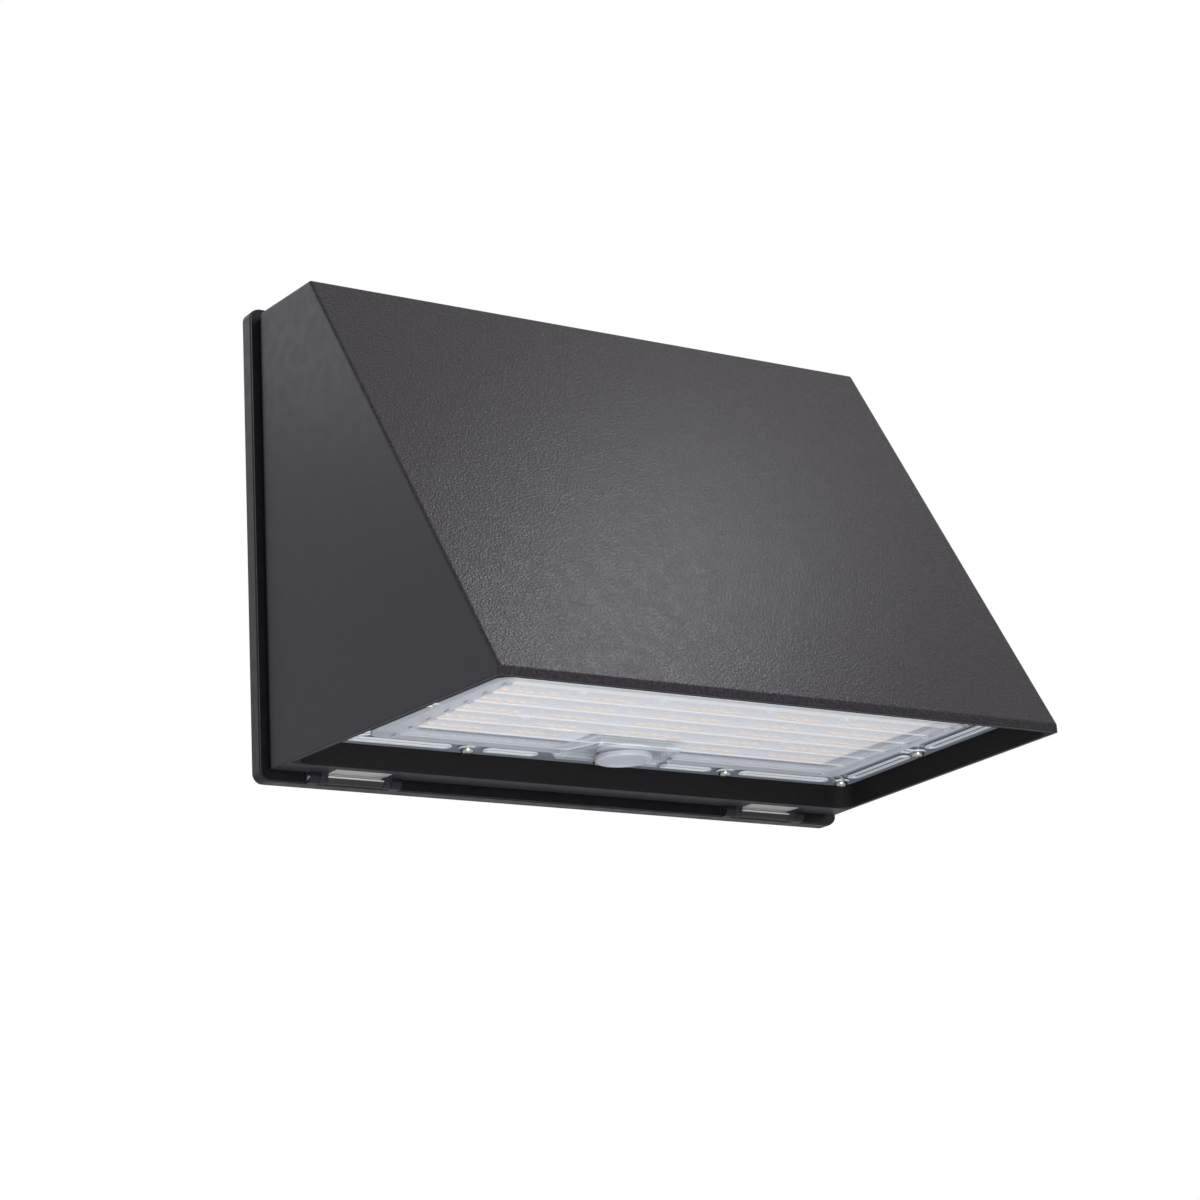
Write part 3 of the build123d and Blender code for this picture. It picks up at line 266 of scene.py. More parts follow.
class Finish:
    """A node material under construction."""

    def __init__(self, name, **values):
        self.material = bpy.data.materials.new(name)
        self.material.use_nodes = True
        self.nodes = self.material.node_tree.nodes
        self.shader = self.nodes["Principled BSDF"]
        self.place = self.nodes.new("ShaderNodeTexCoord")
        self.set(**values)

    def set(self, **values):
        """Set the shader's own sockets; underscores stand for spaces."""
        for name, value in values.items():
            socket = self.shader.inputs[name.replace("_", " ")]
            socket.default_value = (*value, 1.0) if name == "Base_Color" else value

    def link(self, source, target):
        """Join two sockets."""
        self.material.node_tree.links.new(source, target)

    def stretched(self, scale):
        """Object coordinates, scaled along each axis."""
        mapping = self.nodes.new("ShaderNodeMapping")
        mapping.inputs["Scale"].default_value = scale
        self.link(self.place.outputs["Object"], mapping.inputs["Vector"])
        return mapping.outputs["Vector"]

    def noise(self, scale, detail=2.0, roughness=0.5, vector=None):
        """Noise value on object coordinates."""
        node = self.nodes.new("ShaderNodeTexNoise")
        node.inputs["Scale"].default_value = scale
        node.inputs["Detail"].default_value = detail
        node.inputs["Roughness"].default_value = roughness
        self.link(vector or self.place.outputs["Object"], node.inputs["Vector"])
        return node.outputs["Fac"]

    def cells(self, scale):
        """Smooth distance to the nearest cell's middle, on object coordinates."""
        node = self.nodes.new("ShaderNodeTexVoronoi")
        node.feature = "SMOOTH_F1"
        node.inputs["Scale"].default_value = scale
        self.link(self.place.outputs["Object"], node.inputs["Vector"])
        return node.outputs["Distance"]

    def span(self, value, low, high, to_low, to_high):
        """Value mapped smoothly from one span to another."""
        node = self.nodes.new("ShaderNodeMapRange")
        node.interpolation_type = "SMOOTHSTEP"
        limits = {"From Min": low, "From Max": high, "To Min": to_low, "To Max": to_high}
        for name, number in limits.items():
            node.inputs[name].default_value = number
        self.link(value, node.inputs["Value"])
        return node.outputs["Result"]

    def join(self, operation, first, second):
        """Two values put together; either may be a plain number."""
        node = self.nodes.new("ShaderNodeMath")
        node.operation = operation
        for socket, value in zip(node.inputs, (first, second)):
            if isinstance(value, (int, float)):
                socket.default_value = value
            else:
                self.link(value, socket)
        return node.outputs[0]

    def between(self, factor, first, second):
        """Mix of two colours by a value; either may be a plain colour."""
        node = self.nodes.new("ShaderNodeMix")
        node.data_type = "RGBA"
        self.link(factor, node.inputs["Factor"])
        for name, value in (("A", first), ("B", second)):
            socket = next(s for s in node.inputs if s.name == name and s.type == "RGBA")
            if isinstance(value, bpy.types.NodeSocket):
                self.link(value, socket)
            else:
                socket.default_value = (*value, 1.0)
        return next(s for s in node.outputs if s.type == "RGBA")

    def facing(self, direction):
        """How far the surface faces a direction of its own object."""
        node = self.nodes.new("ShaderNodeVectorMath")
        node.operation = "DOT_PRODUCT"
        self.link(self.place.outputs["Normal"], node.inputs[0])
        node.inputs[1].default_value = direction
        return node.outputs["Value"]

    def along(self, axis):
        """One object coordinate, in metres."""
        node = self.nodes.new("ShaderNodeSeparateXYZ")
        self.link(self.place.outputs["Object"], node.inputs[0])
        return node.outputs[axis]

    def inside(self, value, low, high, edge=SOFT_EDGE):
        """One between two limits of a value, and zero outside them."""
        above = self.span(value, low - edge, low + edge, 0, 1)
        below = self.span(value, high - edge, high + edge, 1, 0)
        return self.join("MULTIPLY", above, below)

    def bump(self, height, distance, strength=1.0):
        """Bump from a height between 0 and 1, on top of any earlier one."""
        node = self.nodes.new("ShaderNodeBump")
        node.inputs["Strength"].default_value = strength
        node.inputs["Distance"].default_value = distance
        self.link(height, node.inputs["Height"])
        earlier = self.shader.inputs["Normal"].links
        if earlier:
            self.link(earlier[0].from_socket, node.inputs["Normal"])
        self.link(node.outputs["Normal"], self.shader.inputs["Normal"])

    def round_edges(self, radius):
        """Soften the shading of sharp edges, as a cast edge's small radius does."""
        node = self.nodes.new("ShaderNodeBevel")
        node.samples = 4
        node.inputs["Radius"].default_value = radius
        self.link(node.outputs["Normal"], self.shader.inputs["Normal"])

    def drive(self, name, value):
        """Feed one of the shader's sockets."""
        self.link(value, self.shader.inputs[name])

    def cloudy(self, scale, base, darkest, lightest):
        """A colour that wanders between a darker and a lighter shade of itself."""
        return self.between(self.noise(scale), shaded(base, darkest), shaded(base, lightest))

    def uneven(self, scale, low, high):
        """A value that wanders between two limits."""
        return self.span(self.noise(scale, FINE), *NOISE_SPAN, low, high)


def shaded(base, factor):
    """A colour made lighter or darker."""
    return tuple(min(1.0, channel * factor) for channel in base)


def side_depth(finish):
    """How far a point lies inside the housing's tapered side walls."""
    rear_half, taper = side_taper()
    across = finish.join("ABSOLUTE", finish.along("X"), 0)
    behind = finish.join("SUBTRACT", HOUSING_HIGH.y, finish.along("Y"))
    width = finish.join("SUBTRACT", rear_half, finish.join("MULTIPLY", behind, taper))
    return finish.join("SUBTRACT", width, across)


def slope_depth(finish):
    """How far a point lies behind the housing's sloped face."""
    face = slope_face()
    corner = NODES["front_housing"].data.vertices[face.vertices[0]].co
    along = finish.nodes.new("ShaderNodeVectorMath")
    along.operation = "DOT_PRODUCT"
    finish.link(finish.place.outputs["Object"], along.inputs[0])
    along.inputs[1].default_value = tuple(face.normal)
    return finish.join("SUBTRACT", face.normal.dot(corner), along.outputs["Value"])


def recess_shade_mask(coat):
    """One on the walls and ceiling of the light recess, where shade is painted, and zero on the
    outside.
    """
    middle = RECESS_WALL / 2
    mask = coat.span(side_depth(coat), middle - SOFT_EDGE, middle + SOFT_EDGE, 0, 1)
    for value in (
            coat.span(slope_depth(coat), middle - SOFT_EDGE, middle + SOFT_EDGE, 0, 1),
            coat.inside(coat.along("Y"), HOUSING_LOW.y + middle, LENS_HIGH.y + REAR_REACH),
            coat.inside(coat.along("Z"), HOUSING_LOW.z + RIM_MARGIN, LENS_HIGH.z + SHELF_REACH)):
        mask = coat.join("MULTIPLY", mask, value)
    return mask


def housing_coat(look):
    """Bronze powder coat: grained on slope, lip and top, smooth at the sides, with shade painted
    inside the recess.
    """
    pits_per_grain, pit_weight, recess_dulling = 2.3, 0.4, 0.25
    coat = Finish("bronze_powder_coat", Specular_IOR_Level=look.coat_gloss)
    grained = coat.span(coat.facing(tuple(slope_face().normal)), 0.30, 0.50, 0, 1)
    cells = coat.cells(1 / look.coat_grain)
    pits = coat.noise(pits_per_grain / look.coat_grain, 2.0, 0.55)
    relief = coat.join("ADD", cells, coat.join("MULTIPLY", pits, pit_weight))
    smooth_tone = coat.cloudy(9.0, look.side_coat, 0.93, 1.07)
    speckle = coat.span(relief, 0.35, 1.0, 0.0, 1.0)
    grained_tone = coat.between(speckle, shaded(look.coat, 0.65), shaded(look.coat, 1.35))
    coloured = coat.between(grained, smooth_tone, grained_tone)
    # Painted shade: the recess mask gives the walls and ceiling of the light recess the near black
    # recess colour.
    recess = recess_shade_mask(coat)
    coat.drive("Base Color", coat.between(recess, coloured, look.recess_painted_shade))
    mottled = coat.uneven(140.0, -0.03, 0.03)
    level = coat.span(grained, 0, 1, look.side_roughness, look.coat_roughness)
    level = coat.join("ADD", level, coat.join("MULTIPLY", recess, recess_dulling))
    coat.drive("Roughness", coat.join("ADD", level, mottled))
    coat.round_edges(look.edge_radius)
    coat.bump(coat.join("MULTIPLY", relief, grained), look.coat_relief)
    coat.bump(coat.noise(700.0), 0.00002)
    return coat.material


def tray_coat(look):
    """Satin charcoal coat of the back box."""
    coat = Finish("charcoal_satin_coat", Specular_IOR_Level=0.16)
    coat.drive("Base Color", coat.cloudy(12.0, look.tray_coat, 0.92, 1.08))
    coat.drive("Roughness", coat.uneven(150.0, 0.34, 0.44))
    coat.bump(coat.noise(800.0, FINE), SKIN_RELIEF)
    return coat.material


def rubber(name, base, roughness):
    """Moulded rubber with a faint skin."""
    skin = Finish(name, Specular_IOR_Level=0.2)
    skin.drive("Base Color", skin.cloudy(60.0, base, 0.85, 1.2))
    skin.drive("Roughness", skin.uneven(220.0, roughness - ROUGHNESS_SPREAD,
                                        roughness + ROUGHNESS_SPREAD))
    skin.bump(skin.noise(900.0, FINE), SKIN_RELIEF)
    return skin.material


def foam():
    """Closed cell foam."""
    sheet = Finish("grey_foam", Specular_IOR_Level=0.2)
    pores = sheet.cells(1100.0)
    sheet.drive("Base Color", sheet.between(pores, *FOAM))
    sheet.drive("Roughness", sheet.span(pores, 0.2, 0.9, 0.85, 0.98))
    sheet.bump(pores, 0.0002)
    return sheet.material


def metal(name, base, roughness, strokes):
    """Bare or plated metal with fine strokes; strokes is the scale along each axis."""
    plate = Finish(name, Metallic=1.0)
    lines = plate.noise(1.0, FINE, STROKE_ROUGHNESS, plate.stretched(strokes))
    plate.drive("Base Color", plate.cloudy(70.0, base, 0.88, 1.06))
    plate.drive("Roughness", plate.span(lines, *STROKE_SPAN, roughness - 0.07, roughness + 0.09))
    plate.bump(lines, SHALLOW_RELIEF, 0.6)
    return plate.material


def bay_mask(cover):
    """One on the sensor bay that stands out of the tray, and one along the bay's corners, where
    lighter lines are painted.
    """
    sharp, line_half = 0.0002, 0.0005
    side_end, side_line = (-0.0001, 0.0003), (-0.0009, 0.0001)
    low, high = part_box("sensor_cap")
    front = (low.y + high.y) / 2 - BAY_LENGTH / 2
    ahead = cover.join("SUBTRACT", cover.along("Y"), front)
    slant = (BAY_REAR_HALF - BAY_FRONT_HALF) / BAY_LENGTH
    half = cover.join("ADD", BAY_FRONT_HALF + BAY_FLARE, cover.join("MULTIPLY", ahead, slant))
    across = cover.join("SUBTRACT", cover.join("ABSOLUTE", cover.along("X"), 0), half)
    mask = cover.span(across, *side_end, 1, 0)
    mask = cover.join("MULTIPLY", mask, cover.inside(ahead, -BAY_FLARE, BAY_LENGTH + BAY_FLARE))
    face = FLANGE_FACE - TRAY_DROP
    below = cover.span(cover.along("Z"), face - sharp, face, 1, 0)
    corner = cover.inside(across, -BAY_FLARE + side_line[0], -BAY_FLARE + side_line[1], sharp)
    for edge in (0.0, BAY_LENGTH):
        line = cover.inside(ahead, edge - line_half, edge + line_half, sharp)
        corner = cover.join("MAXIMUM", corner, line)
    return cover.join("MULTIPLY", mask, below), corner


def clear_cover(look):
    """Clear moulded polycarbonate, clearer over the board than on the flange; painted highlights
    on crests and beads, painted shade in flutes, flange and bay.
    """
    cover = Finish("clear_polycarbonate", IOR=POLYCARBONATE_IOR, Specular_IOR_Level=0.6)
    sides = side_depth(cover)
    inward = LENS_EDGE + TRAY_INSET
    tray = cover.span(sides, inward - SOFT_EDGE, inward + SOFT_EDGE, 0, 1)
    tray = cover.join("MULTIPLY", tray, cover.inside(cover.along("Y"), LENS_LOW.y + TRAY_INSET,
                                                     LENS_HIGH.y - TRAY_INSET))
    low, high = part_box("led_board")
    over_board = cover.inside(cover.join("ABSOLUTE", cover.along("X"), 0), -1.0,
                              high.x + BOARD_MARGIN, 0.0006)
    over_board = cover.join("MULTIPLY", over_board,
                            cover.inside(cover.along("Y"), low.y - BOARD_FRONT_MARGIN,
                                         high.y + BOARD_MARGIN, 0.001))
    height = cover.along("Z")
    face = FLANGE_FACE - TRAY_DROP
    # Painted highlight along each flute's crest and painted shade towards its middle, by height.
    crest = cover.span(height, face + CREST_BAND[0], face + CREST_BAND[1], 1, 0)
    flute = cover.span(height, face, face + FLUTE_DEPTH, 0, 1)
    fluted = cover.between(flute, look.cover, look.cover_flute_shade)
    fluted = cover.between(crest, fluted, look.cover_crest_highlight)
    # On the flange: painted highlight on the bead tops and the upper part of upright faces,
    # painted shade in the grooves and on the lower part; the flange's own colour is painted shade
    # of the dark parts behind it.
    level = cover.join("ABSOLUTE", cover.facing((0, 0, 1)), 0)
    upright = cover.span(level, 0.35, 0.75, 1, 0)
    bead = FLANGE_FACE - BEAD_DROP
    raised = cover.inside(height, bead - 0.00004, bead + 0.0003, 0.00003)
    groove = cover.inside(height, FLANGE_FACE + GROOVE_BAND[0], FLANGE_FACE + GROOVE_BAND[1],
                          0.0001)
    rim = cover.between(raised, look.cover_rim_shade, look.cover_bead_highlight)
    rim = cover.between(groove, rim, look.cover_edge_shade)
    lower = cover.span(height, FLANGE_FACE + SIDE_BREAK[0], FLANGE_FACE + SIDE_BREAK[1], 1, 0)
    rim = cover.between(upright, rim, cover.between(lower, look.cover_edge_shade, look.cover_bead_highlight))
    # Painted shade on the tray's margin round the flutes, darker still on its upright faces.
    margin = cover.between(upright, look.cover_margin_shade, shaded(look.cover_margin_shade, 0.75))
    plain = cover.between(tray, rim, margin)
    bay, corner = bay_mask(cover)
    shown = cover.between(over_board, plain, fluted)
    # Painted glints and streaks on the sensor bay's shade colour, with the margin's colour painted
    # along the bay's corners as lighter lines.
    streaks = cover.noise(1.0, 2.0, 0.5, cover.stretched((90.0, 30.0, 400.0)))
    glints = cover.span(streaks, 0.35, 0.65, 0, 1)
    hollow = cover.between(glints, shaded(look.cover_bay_shade, 0.55), shaded(look.cover_bay_shade, 1.5))
    hollow = cover.between(corner, hollow, look.cover_margin_shade)
    cover.drive("Base Color", cover.between(bay, shown, hollow))
    body = cover.join("ADD", look.cover_haze, cover.join("MULTIPLY", crest, 0.25))
    outward = cover.span(cover.facing((0, 0, 1)), 0.1, 0.4, 1, look.inner_haze)
    haze = cover.span(over_board, 0, 1, look.rim_haze, 0)
    haze = cover.join("ADD", haze, cover.join("MULTIPLY", body, over_board))
    in_bay = cover.span(bay, 0, 1, 1, look.bay_haze / look.rim_haze)
    solid = cover.join("MAXIMUM", in_bay, corner)
    cover.drive("Alpha", cover.join("MULTIPLY", cover.join("MULTIPLY", haze, solid), outward))
    flow = cover.noise(1.0, FINE, 0.5, cover.stretched((10.0, 160.0, 160.0)))
    cover.drive("Roughness", cover.span(flow, *NOISE_SPAN, 0.12, 0.18))
    cover.bump(flow, 0.00001, 0.5)
    return cover.material


def leaf_steel(look):
    """Brushed stainless on the leaf's flat, darker and less metallic on the roll round the pin."""
    plate = Finish("brushed_stainless_leaf")
    lines = plate.noise(1.0, FINE, STROKE_ROUGHNESS, plate.stretched((30.0, 900.0, 900.0)))
    bright = plate.cloudy(70.0, look.steel, 0.90, 1.05)
    # The roll round the pin, found by height, is darker and less metallic than the flat.
    rolled = plate.span(plate.along("Z"), HOUSING_LOW.z + ROLL_TOP[0],
                        HOUSING_LOW.z + ROLL_TOP[1], 1, 0)
    plate.drive("Base Color", plate.between(rolled, bright, look.roll))
    plate.drive("Metallic", plate.span(rolled, 0, 1, 0.85, 0.3))
    plate.drive("Roughness", plate.span(lines, *STROKE_SPAN, 0.34, 0.52))
    plate.bump(lines, SHALLOW_RELIEF, 0.6)
    return plate.material


def frosted_cap(look):
    """Frosted polycarbonate with fine sand blast grain."""
    cap = Finish("frosted_polycarbonate", IOR=POLYCARBONATE_IOR, Transmission_Weight=0.25,
                 Subsurface_Weight=0.2, Subsurface_Scale=0.002)
    cap.drive("Base Color", cap.cloudy(90.0, look.cap, 0.96, 1.05))
    cap.drive("Roughness", cap.uneven(300.0, 0.28, 0.42))
    cap.bump(cap.noise(1600.0), SHALLOW_RELIEF)
    return cap.material


def plastic(name, base, roughness, grain=1200.0, relief=SHALLOW_RELIEF):
    """Moulded plastic with a fine surface."""
    skin = Finish(name)
    skin.drive("Base Color", skin.cloudy(45.0, base, 0.95, 1.04))
    skin.drive("Roughness", skin.uneven(260.0, roughness - ROUGHNESS_SPREAD,
                                        roughness + ROUGHNESS_SPREAD))
    skin.bump(skin.noise(grain), relief)
    return skin.material


def board_coat(name, base, trace_shade, pitch):
    """Solder coat over faint raised copper areas."""
    board = Finish(name, Specular_IOR_Level=0.45)
    traces = board.nodes.new("ShaderNodeTexBrick")
    for socket, value in (("Scale", 1.0), ("Brick Width", 4 * pitch), ("Row Height", pitch),
                          ("Mortar Size", 0.0004), ("Mortar Smooth", 0.3)):
        traces.inputs[socket].default_value = value
    board.link(board.place.outputs["Object"], traces.inputs["Vector"])
    copper = traces.outputs["Fac"]
    board.drive("Base Color", board.between(copper, base, shaded(base, trace_shade)))
    board.drive("Roughness", board.uneven(300.0, 0.30, 0.42))
    board.bump(copper, SKIN_RELIEF)
    return board.material


def pad_sheet():
    """Filled silicone sheet with a woven backing."""
    pad = Finish("thermal_pad_sheet", Specular_IOR_Level=0.3)
    weave = pad.nodes.new("ShaderNodeTexWave")
    weave.inputs["Scale"].default_value = 320.0
    weave.inputs["Distortion"].default_value = 1.5
    pad.link(pad.place.outputs["Object"], weave.inputs["Vector"])
    threads = weave.outputs["Fac"]
    pad.drive("Base Color", pad.between(threads, *PAD))
    pad.drive("Roughness", pad.span(threads, 0, 1, 0.6, 0.75))
    pad.bump(threads, SKIN_RELIEF)
    return pad.material


def dress(node, material):
    """Give a CAD node its finish."""
    slots = NODES[node].data.materials
    slots.clear()
    slots.append(material)


# Small pieces and repeats

def new_piece(name, mesh, material=None):
    """Object at the origin that holds a mesh."""
    piece = bpy.data.objects.new(name, mesh)
    bpy.context.scene.collection.objects.link(piece)
    if material:
        mesh.materials.append(material)
    return piece


def solids_of(node):
    """Lowest and highest corner of each separate solid of a CAD node."""
    shape = bmesh.new()
    shape.from_mesh(NODES[node].data)
    bmesh.ops.remove_doubles(shape, verts=shape.verts, dist=1e-6)
    waiting = set(shape.verts)
    boxes = []
    while waiting:
        group = [waiting.pop()]
        corners = []
        while group:
            vert = group.pop()
            corners.append(vert.co.copy())
            for edge in vert.link_edges:
                other = edge.other_vert(vert)
                if other in waiting:
                    waiting.remove(other)
                    group.append(other)
        low = Vector([min(c[axis] for c in corners) for axis in range(3)])
        high = Vector([max(c[axis] for c in corners) for axis in range(3)])
        boxes.append((low, high))
    shape.free()
    return sorted(boxes, key=lambda box: tuple(box[0]))


def wire_between(name, points, radius, material):
    """Round insulated wire on a smooth curve through its control points."""
    data = bpy.data.curves.new(name, "CURVE")
    data.dimensions = "3D"
    data.bevel_depth = radius
    data.bevel_resolution = 5
    data.resolution_u = 10
    data.use_fill_caps = True
    run = data.splines.new("NURBS")
    run.points.add(len(points) - 1)
    for point, place in zip(run.points, points):
        point.co = (*place, 1.0)
    run.order_u = 3
    run.use_endpoint_u = True
    curve = bpy.data.objects.new(name + "_route", data)
    bpy.context.scene.collection.objects.link(curve)
    shown = curve.evaluated_get(bpy.context.evaluated_depsgraph_get())
    wire = new_piece(name, bpy.data.meshes.new_from_object(shown))
    bpy.data.objects.remove(curve)
    wire.data.materials.clear()
    wire.data.materials.append(material)
    return wire


def smooth(mesh):
    """Smooth faces with sharp edges kept."""
    sharpest = math.radians(35)
    shape = bmesh.new()
    shape.from_mesh(mesh)
    for face in shape.faces:
        face.smooth = True
    for edge in shape.edges:
        edge.smooth = len(edge.link_faces) == 2 and edge.calc_face_angle(math.pi) < sharpest
    shape.to_mesh(mesh)
    shape.free()


def revolved(name, outline, steps):
    """Closed mesh turned about Z from points (radius, height) that start and end on the axis."""
    shape = bmesh.new()
    rings = []
    for radius, height in outline:
        if radius == 0:
            rings.append([shape.verts.new((0, 0, height))])
            continue
        turns = [2 * math.pi * index / steps for index in range(steps)]
        rings.append([shape.verts.new((radius * math.cos(turn), radius * math.sin(turn), height))
                      for turn in turns])
    for first, second in zip(rings, rings[1:]):
        for index in range(steps):
            corners = [first[index % len(first)], first[(index + 1) % len(first)],
                       second[(index + 1) % len(second)], second[index % len(second)]]
            shape.faces.new(list(dict.fromkeys(corners)))
    bmesh.ops.recalc_face_normals(shape, faces=shape.faces)
    mesh = bpy.data.meshes.new(name)
    shape.to_mesh(mesh)
    shape.free()
    return mesh


def boxes_mesh(name, boxes):
    """Mesh of several plain boxes, each from a lowest to a highest corner."""
    shape = bmesh.new()
    for low, high in boxes:
        made = bmesh.ops.create_cube(shape, size=1.0)
        middle = (Vector(low) + Vector(high)) / 2
        size = Vector(high) - Vector(low)
        place = Matrix.Translation(middle) @ Matrix.Diagonal((*size, 1.0))
        bmesh.ops.transform(shape, matrix=place, verts=made["verts"])
    mesh = bpy.data.meshes.new(name)
    shape.to_mesh(mesh)
    shape.free()
    return mesh


def settled(piece):
    """Piece with its modifiers' result as a plain mesh, and no modifiers."""
    shown = piece.evaluated_get(bpy.context.evaluated_depsgraph_get())
    mesh = bpy.data.meshes.new_from_object(shown)
    piece.modifiers.clear()
    piece.data = mesh
    return piece


def cut_by(piece, cutter_mesh):
    """Piece with another mesh cut out of it."""
    cutter = new_piece(piece.name + "_cutter", cutter_mesh)
    cut = piece.modifiers.new("cut", "BOOLEAN")
    cut.object = cutter
    cut.solver = "EXACT"
    settled(piece)
    bpy.data.objects.remove(cutter)
    return piece


def repeat_tree():
    """Geometry nodes that set one piece on every point, turned by a seeded amount."""
    tree = bpy.data.node_groups.new("Repeat on points", "GeometryNodeTree")
    for name, kind in (("Geometry", "Geometry"), ("Piece", "Object"), ("Finish", "Material"),
                       ("Most turn", "Float"), ("Seed", "Int")):
        tree.interface.new_socket(name=name, in_out="INPUT", socket_type="NodeSocket" + kind)
    tree.interface.new_socket(name="Geometry", in_out="OUTPUT",
                              socket_type="NodeSocketGeometry")
    nodes, links = tree.nodes, tree.links
    given = nodes.new("NodeGroupInput")
    piece = nodes.new("GeometryNodeObjectInfo")
    turn = nodes.new("FunctionNodeRandomValue")
    turn.data_type = "FLOAT"
    number = next(s for s in turn.inputs if s.name == "Max" and s.type == "VALUE")
    spread = next(s for s in turn.outputs if s.type == "VALUE")
    about = nodes.new("ShaderNodeCombineXYZ")
    placed = nodes.new("GeometryNodeInstanceOnPoints")
    real = nodes.new("GeometryNodeRealizeInstances")
    finish = nodes.new("GeometryNodeSetMaterial")
    result = nodes.new("NodeGroupOutput")
    links.new(given.outputs["Piece"], piece.inputs["Object"])
    links.new(given.outputs["Most turn"], number)
    links.new(given.outputs["Seed"], turn.inputs["Seed"])
    links.new(spread, about.inputs["Z"])
    links.new(given.outputs["Geometry"], placed.inputs["Points"])
    links.new(piece.outputs["Geometry"], placed.inputs["Instance"])
    links.new(about.outputs["Vector"], placed.inputs["Rotation"])
    links.new(placed.outputs["Instances"], real.inputs["Geometry"])
    links.new(real.outputs["Geometry"], finish.inputs["Geometry"])
    links.new(given.outputs["Finish"], finish.inputs["Material"])
    links.new(finish.outputs["Geometry"], result.inputs["Geometry"])
    return tree


def repeated(name, piece_mesh, places, material, most_turn=0.0, seed=0):
    """One mesh that holds a piece at every place."""
    tree = bpy.data.node_groups.get("Repeat on points") or repeat_tree()
    points = bpy.data.meshes.new(name)
    points.from_pydata([tuple(p) for p in places], [], [])
    whole = new_piece(name, points)
    single = new_piece(name + "_single", piece_mesh)
    single.hide_render = True
    modifier = whole.modifiers.new("repeat", "NODES")
    modifier.node_group = tree
    wanted = {"Piece": single, "Finish": material, "Most turn": most_turn, "Seed": seed}
    for socket in tree.interface.items_tree:
        if socket.in_out == "INPUT" and socket.name in wanted:
            modifier[socket.identifier] = wanted[socket.name]
    settled(whole)
    bpy.data.objects.remove(single)
    if not whole.data.polygons:
        raise RuntimeError(name + " came out empty")
    return whole


def pan_screw_mesh(name, head_radius, head_height, shank_radius, shank_length, detail):
    """Pan head screw along +Z, head below zero, with a cross recess and threads."""
    flange = detail.head_flange
    pitch = detail.thread_pitch
    dome = [(0, -head_height)]
    for index in range(1, DOME_STEPS + 1):
        angle = math.pi / 2 * index / DOME_STEPS
        radius = head_radius * (DOME_FLAT + DOME_SWELL * math.sin(angle))
        dome.append((radius, -head_height + (head_height - flange) * (1 - math.cos(angle))))
    outline = dome + [(head_radius, -flange), (head_radius, 0)]
    turns = int((shank_length - 2 * pitch) / pitch)
    root = shank_radius - detail.thread_depth
    outline.append((root, 0))
    for index in range(turns):
        start = pitch * (index + 1)
        outline += [(root, start), (shank_radius, start + pitch * 0.5)]
    outline += [(root, shank_length - pitch), (root * TIP_SHARE, shank_length), (0, shank_length)]
    piece = new_piece(name, revolved(name, outline, 24))
    arm = head_radius * SLOT_REACH
    wide = head_radius * SLOT_WIDTH
    deep = -head_height * SLOT_DEPTH
    low = -head_height - CUT_CLEARANCE
    for x, y in ((arm, wide), (wide, arm)):
        cut_by(piece, boxes_mesh(name + "_slot", [((-x, -y, low), (x, y, deep))]))
    smooth(piece.data)
    mesh = piece.data
    bpy.data.objects.remove(piece)
    return mesh


# Operators, one for each group of pieces

class WallpackCastings(bpy.types.Operator):
    """Coat the front housing and the back box"""
    bl_idname = "wallpack.castings"
    bl_label = "Castings"

    def execute(self, context):
        look = context.scene.wallpack_finishes
        dress("front_housing", housing_coat(look))
        dress("back_box", tray_coat(look))
        return {"FINISHED"}


class WallpackSeals(bpy.types.Operator):
    """Finish the rubber rings, the grommets and the foam"""
    bl_idname = "wallpack.seals"
    bl_label = "Seals"

    def execute(self, context):
        look = context.scene.wallpack_finishes
        moulded = rubber("black_moulded_rubber", look.rubber, 0.34)
        for node in ("housing_gasket", "wire_grommet", "lead_grommet", "cover_screw_seals"):
            dress(node, moulded)
        dress("lens_gasket", rubber("grey_silicone_gasket", look.gasket, 0.6))
        dress("wall_gasket", foam())
        return {"FINISHED"}


class WallpackHinges(bpy.types.Operator):
    """Finish the stainless leaves and pins"""
    bl_idname = "wallpack.hinges"
    bl_label = "Hinges"

    def execute(self, context):
        look = context.scene.wallpack_finishes
        dress("hinge_plates", leaf_steel(look))
        dress("hinge_pins", metal("drawn_stainless_pin", shaded(look.steel, 0.9), 0.26,
                                  (30.0, 1400.0, 1400.0)))
        return {"FINISHED"}


class WallpackCover(bpy.types.Operator):
    """Finish the clear ribbed cover"""
    bl_idname = "wallpack.cover"
    bl_label = "Clear cover"

    def execute(self, context):
        dress("lens", clear_cover(context.scene.wallpack_finishes))
        return {"FINISHED"}


class WallpackScrews(bpy.types.Operator):
    """Make the screws of the cover and the light board, and finish the others"""
    bl_idname = "wallpack.screws"
    bl_label = "Screws"

    def execute(self, context):
        look = context.scene.wallpack_finishes
        detail = context.scene.wallpack_detail
        plate = metal("bright_zinc_plate", look.zinc, 0.24, EVEN_STROKES)
        pale = plastic("pale_screw_coat", PALE_SCREW, 0.5)
        for node, shank_share, finish in (("lens_screws", 0.54, plate),
                                          ("led_board_screws", 0.5, pale)):
            solids = solids_of(node)
            low, high = solids[0]
            radius = (high.x - low.x) / 2
            head = radius * HEAD_SHARE
            mesh = pan_screw_mesh(node + "_single", radius, head, radius * shank_share,
                                  high.z - low.z - head, detail)
            places = [((a.x + b.x) / 2, (a.y + b.y) / 2, a.z + head) for a, b in solids]
            whole = repeated(node + "_made", mesh, places, finish, math.pi,
                             detail.screw_seed)
            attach(whole, FRONT_BODY)
            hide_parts(node)
        for node in ("cover_screws", "cover_screw_nuts", "driver_screws", "surge_protector_screws",
                     "terminal_screws"):
            dress(node, plate)
        dress("ground_screw", metal("green_passivated_screw", GREEN_SCREW, 0.35, EVEN_STROKES))
        return {"FINISHED"}


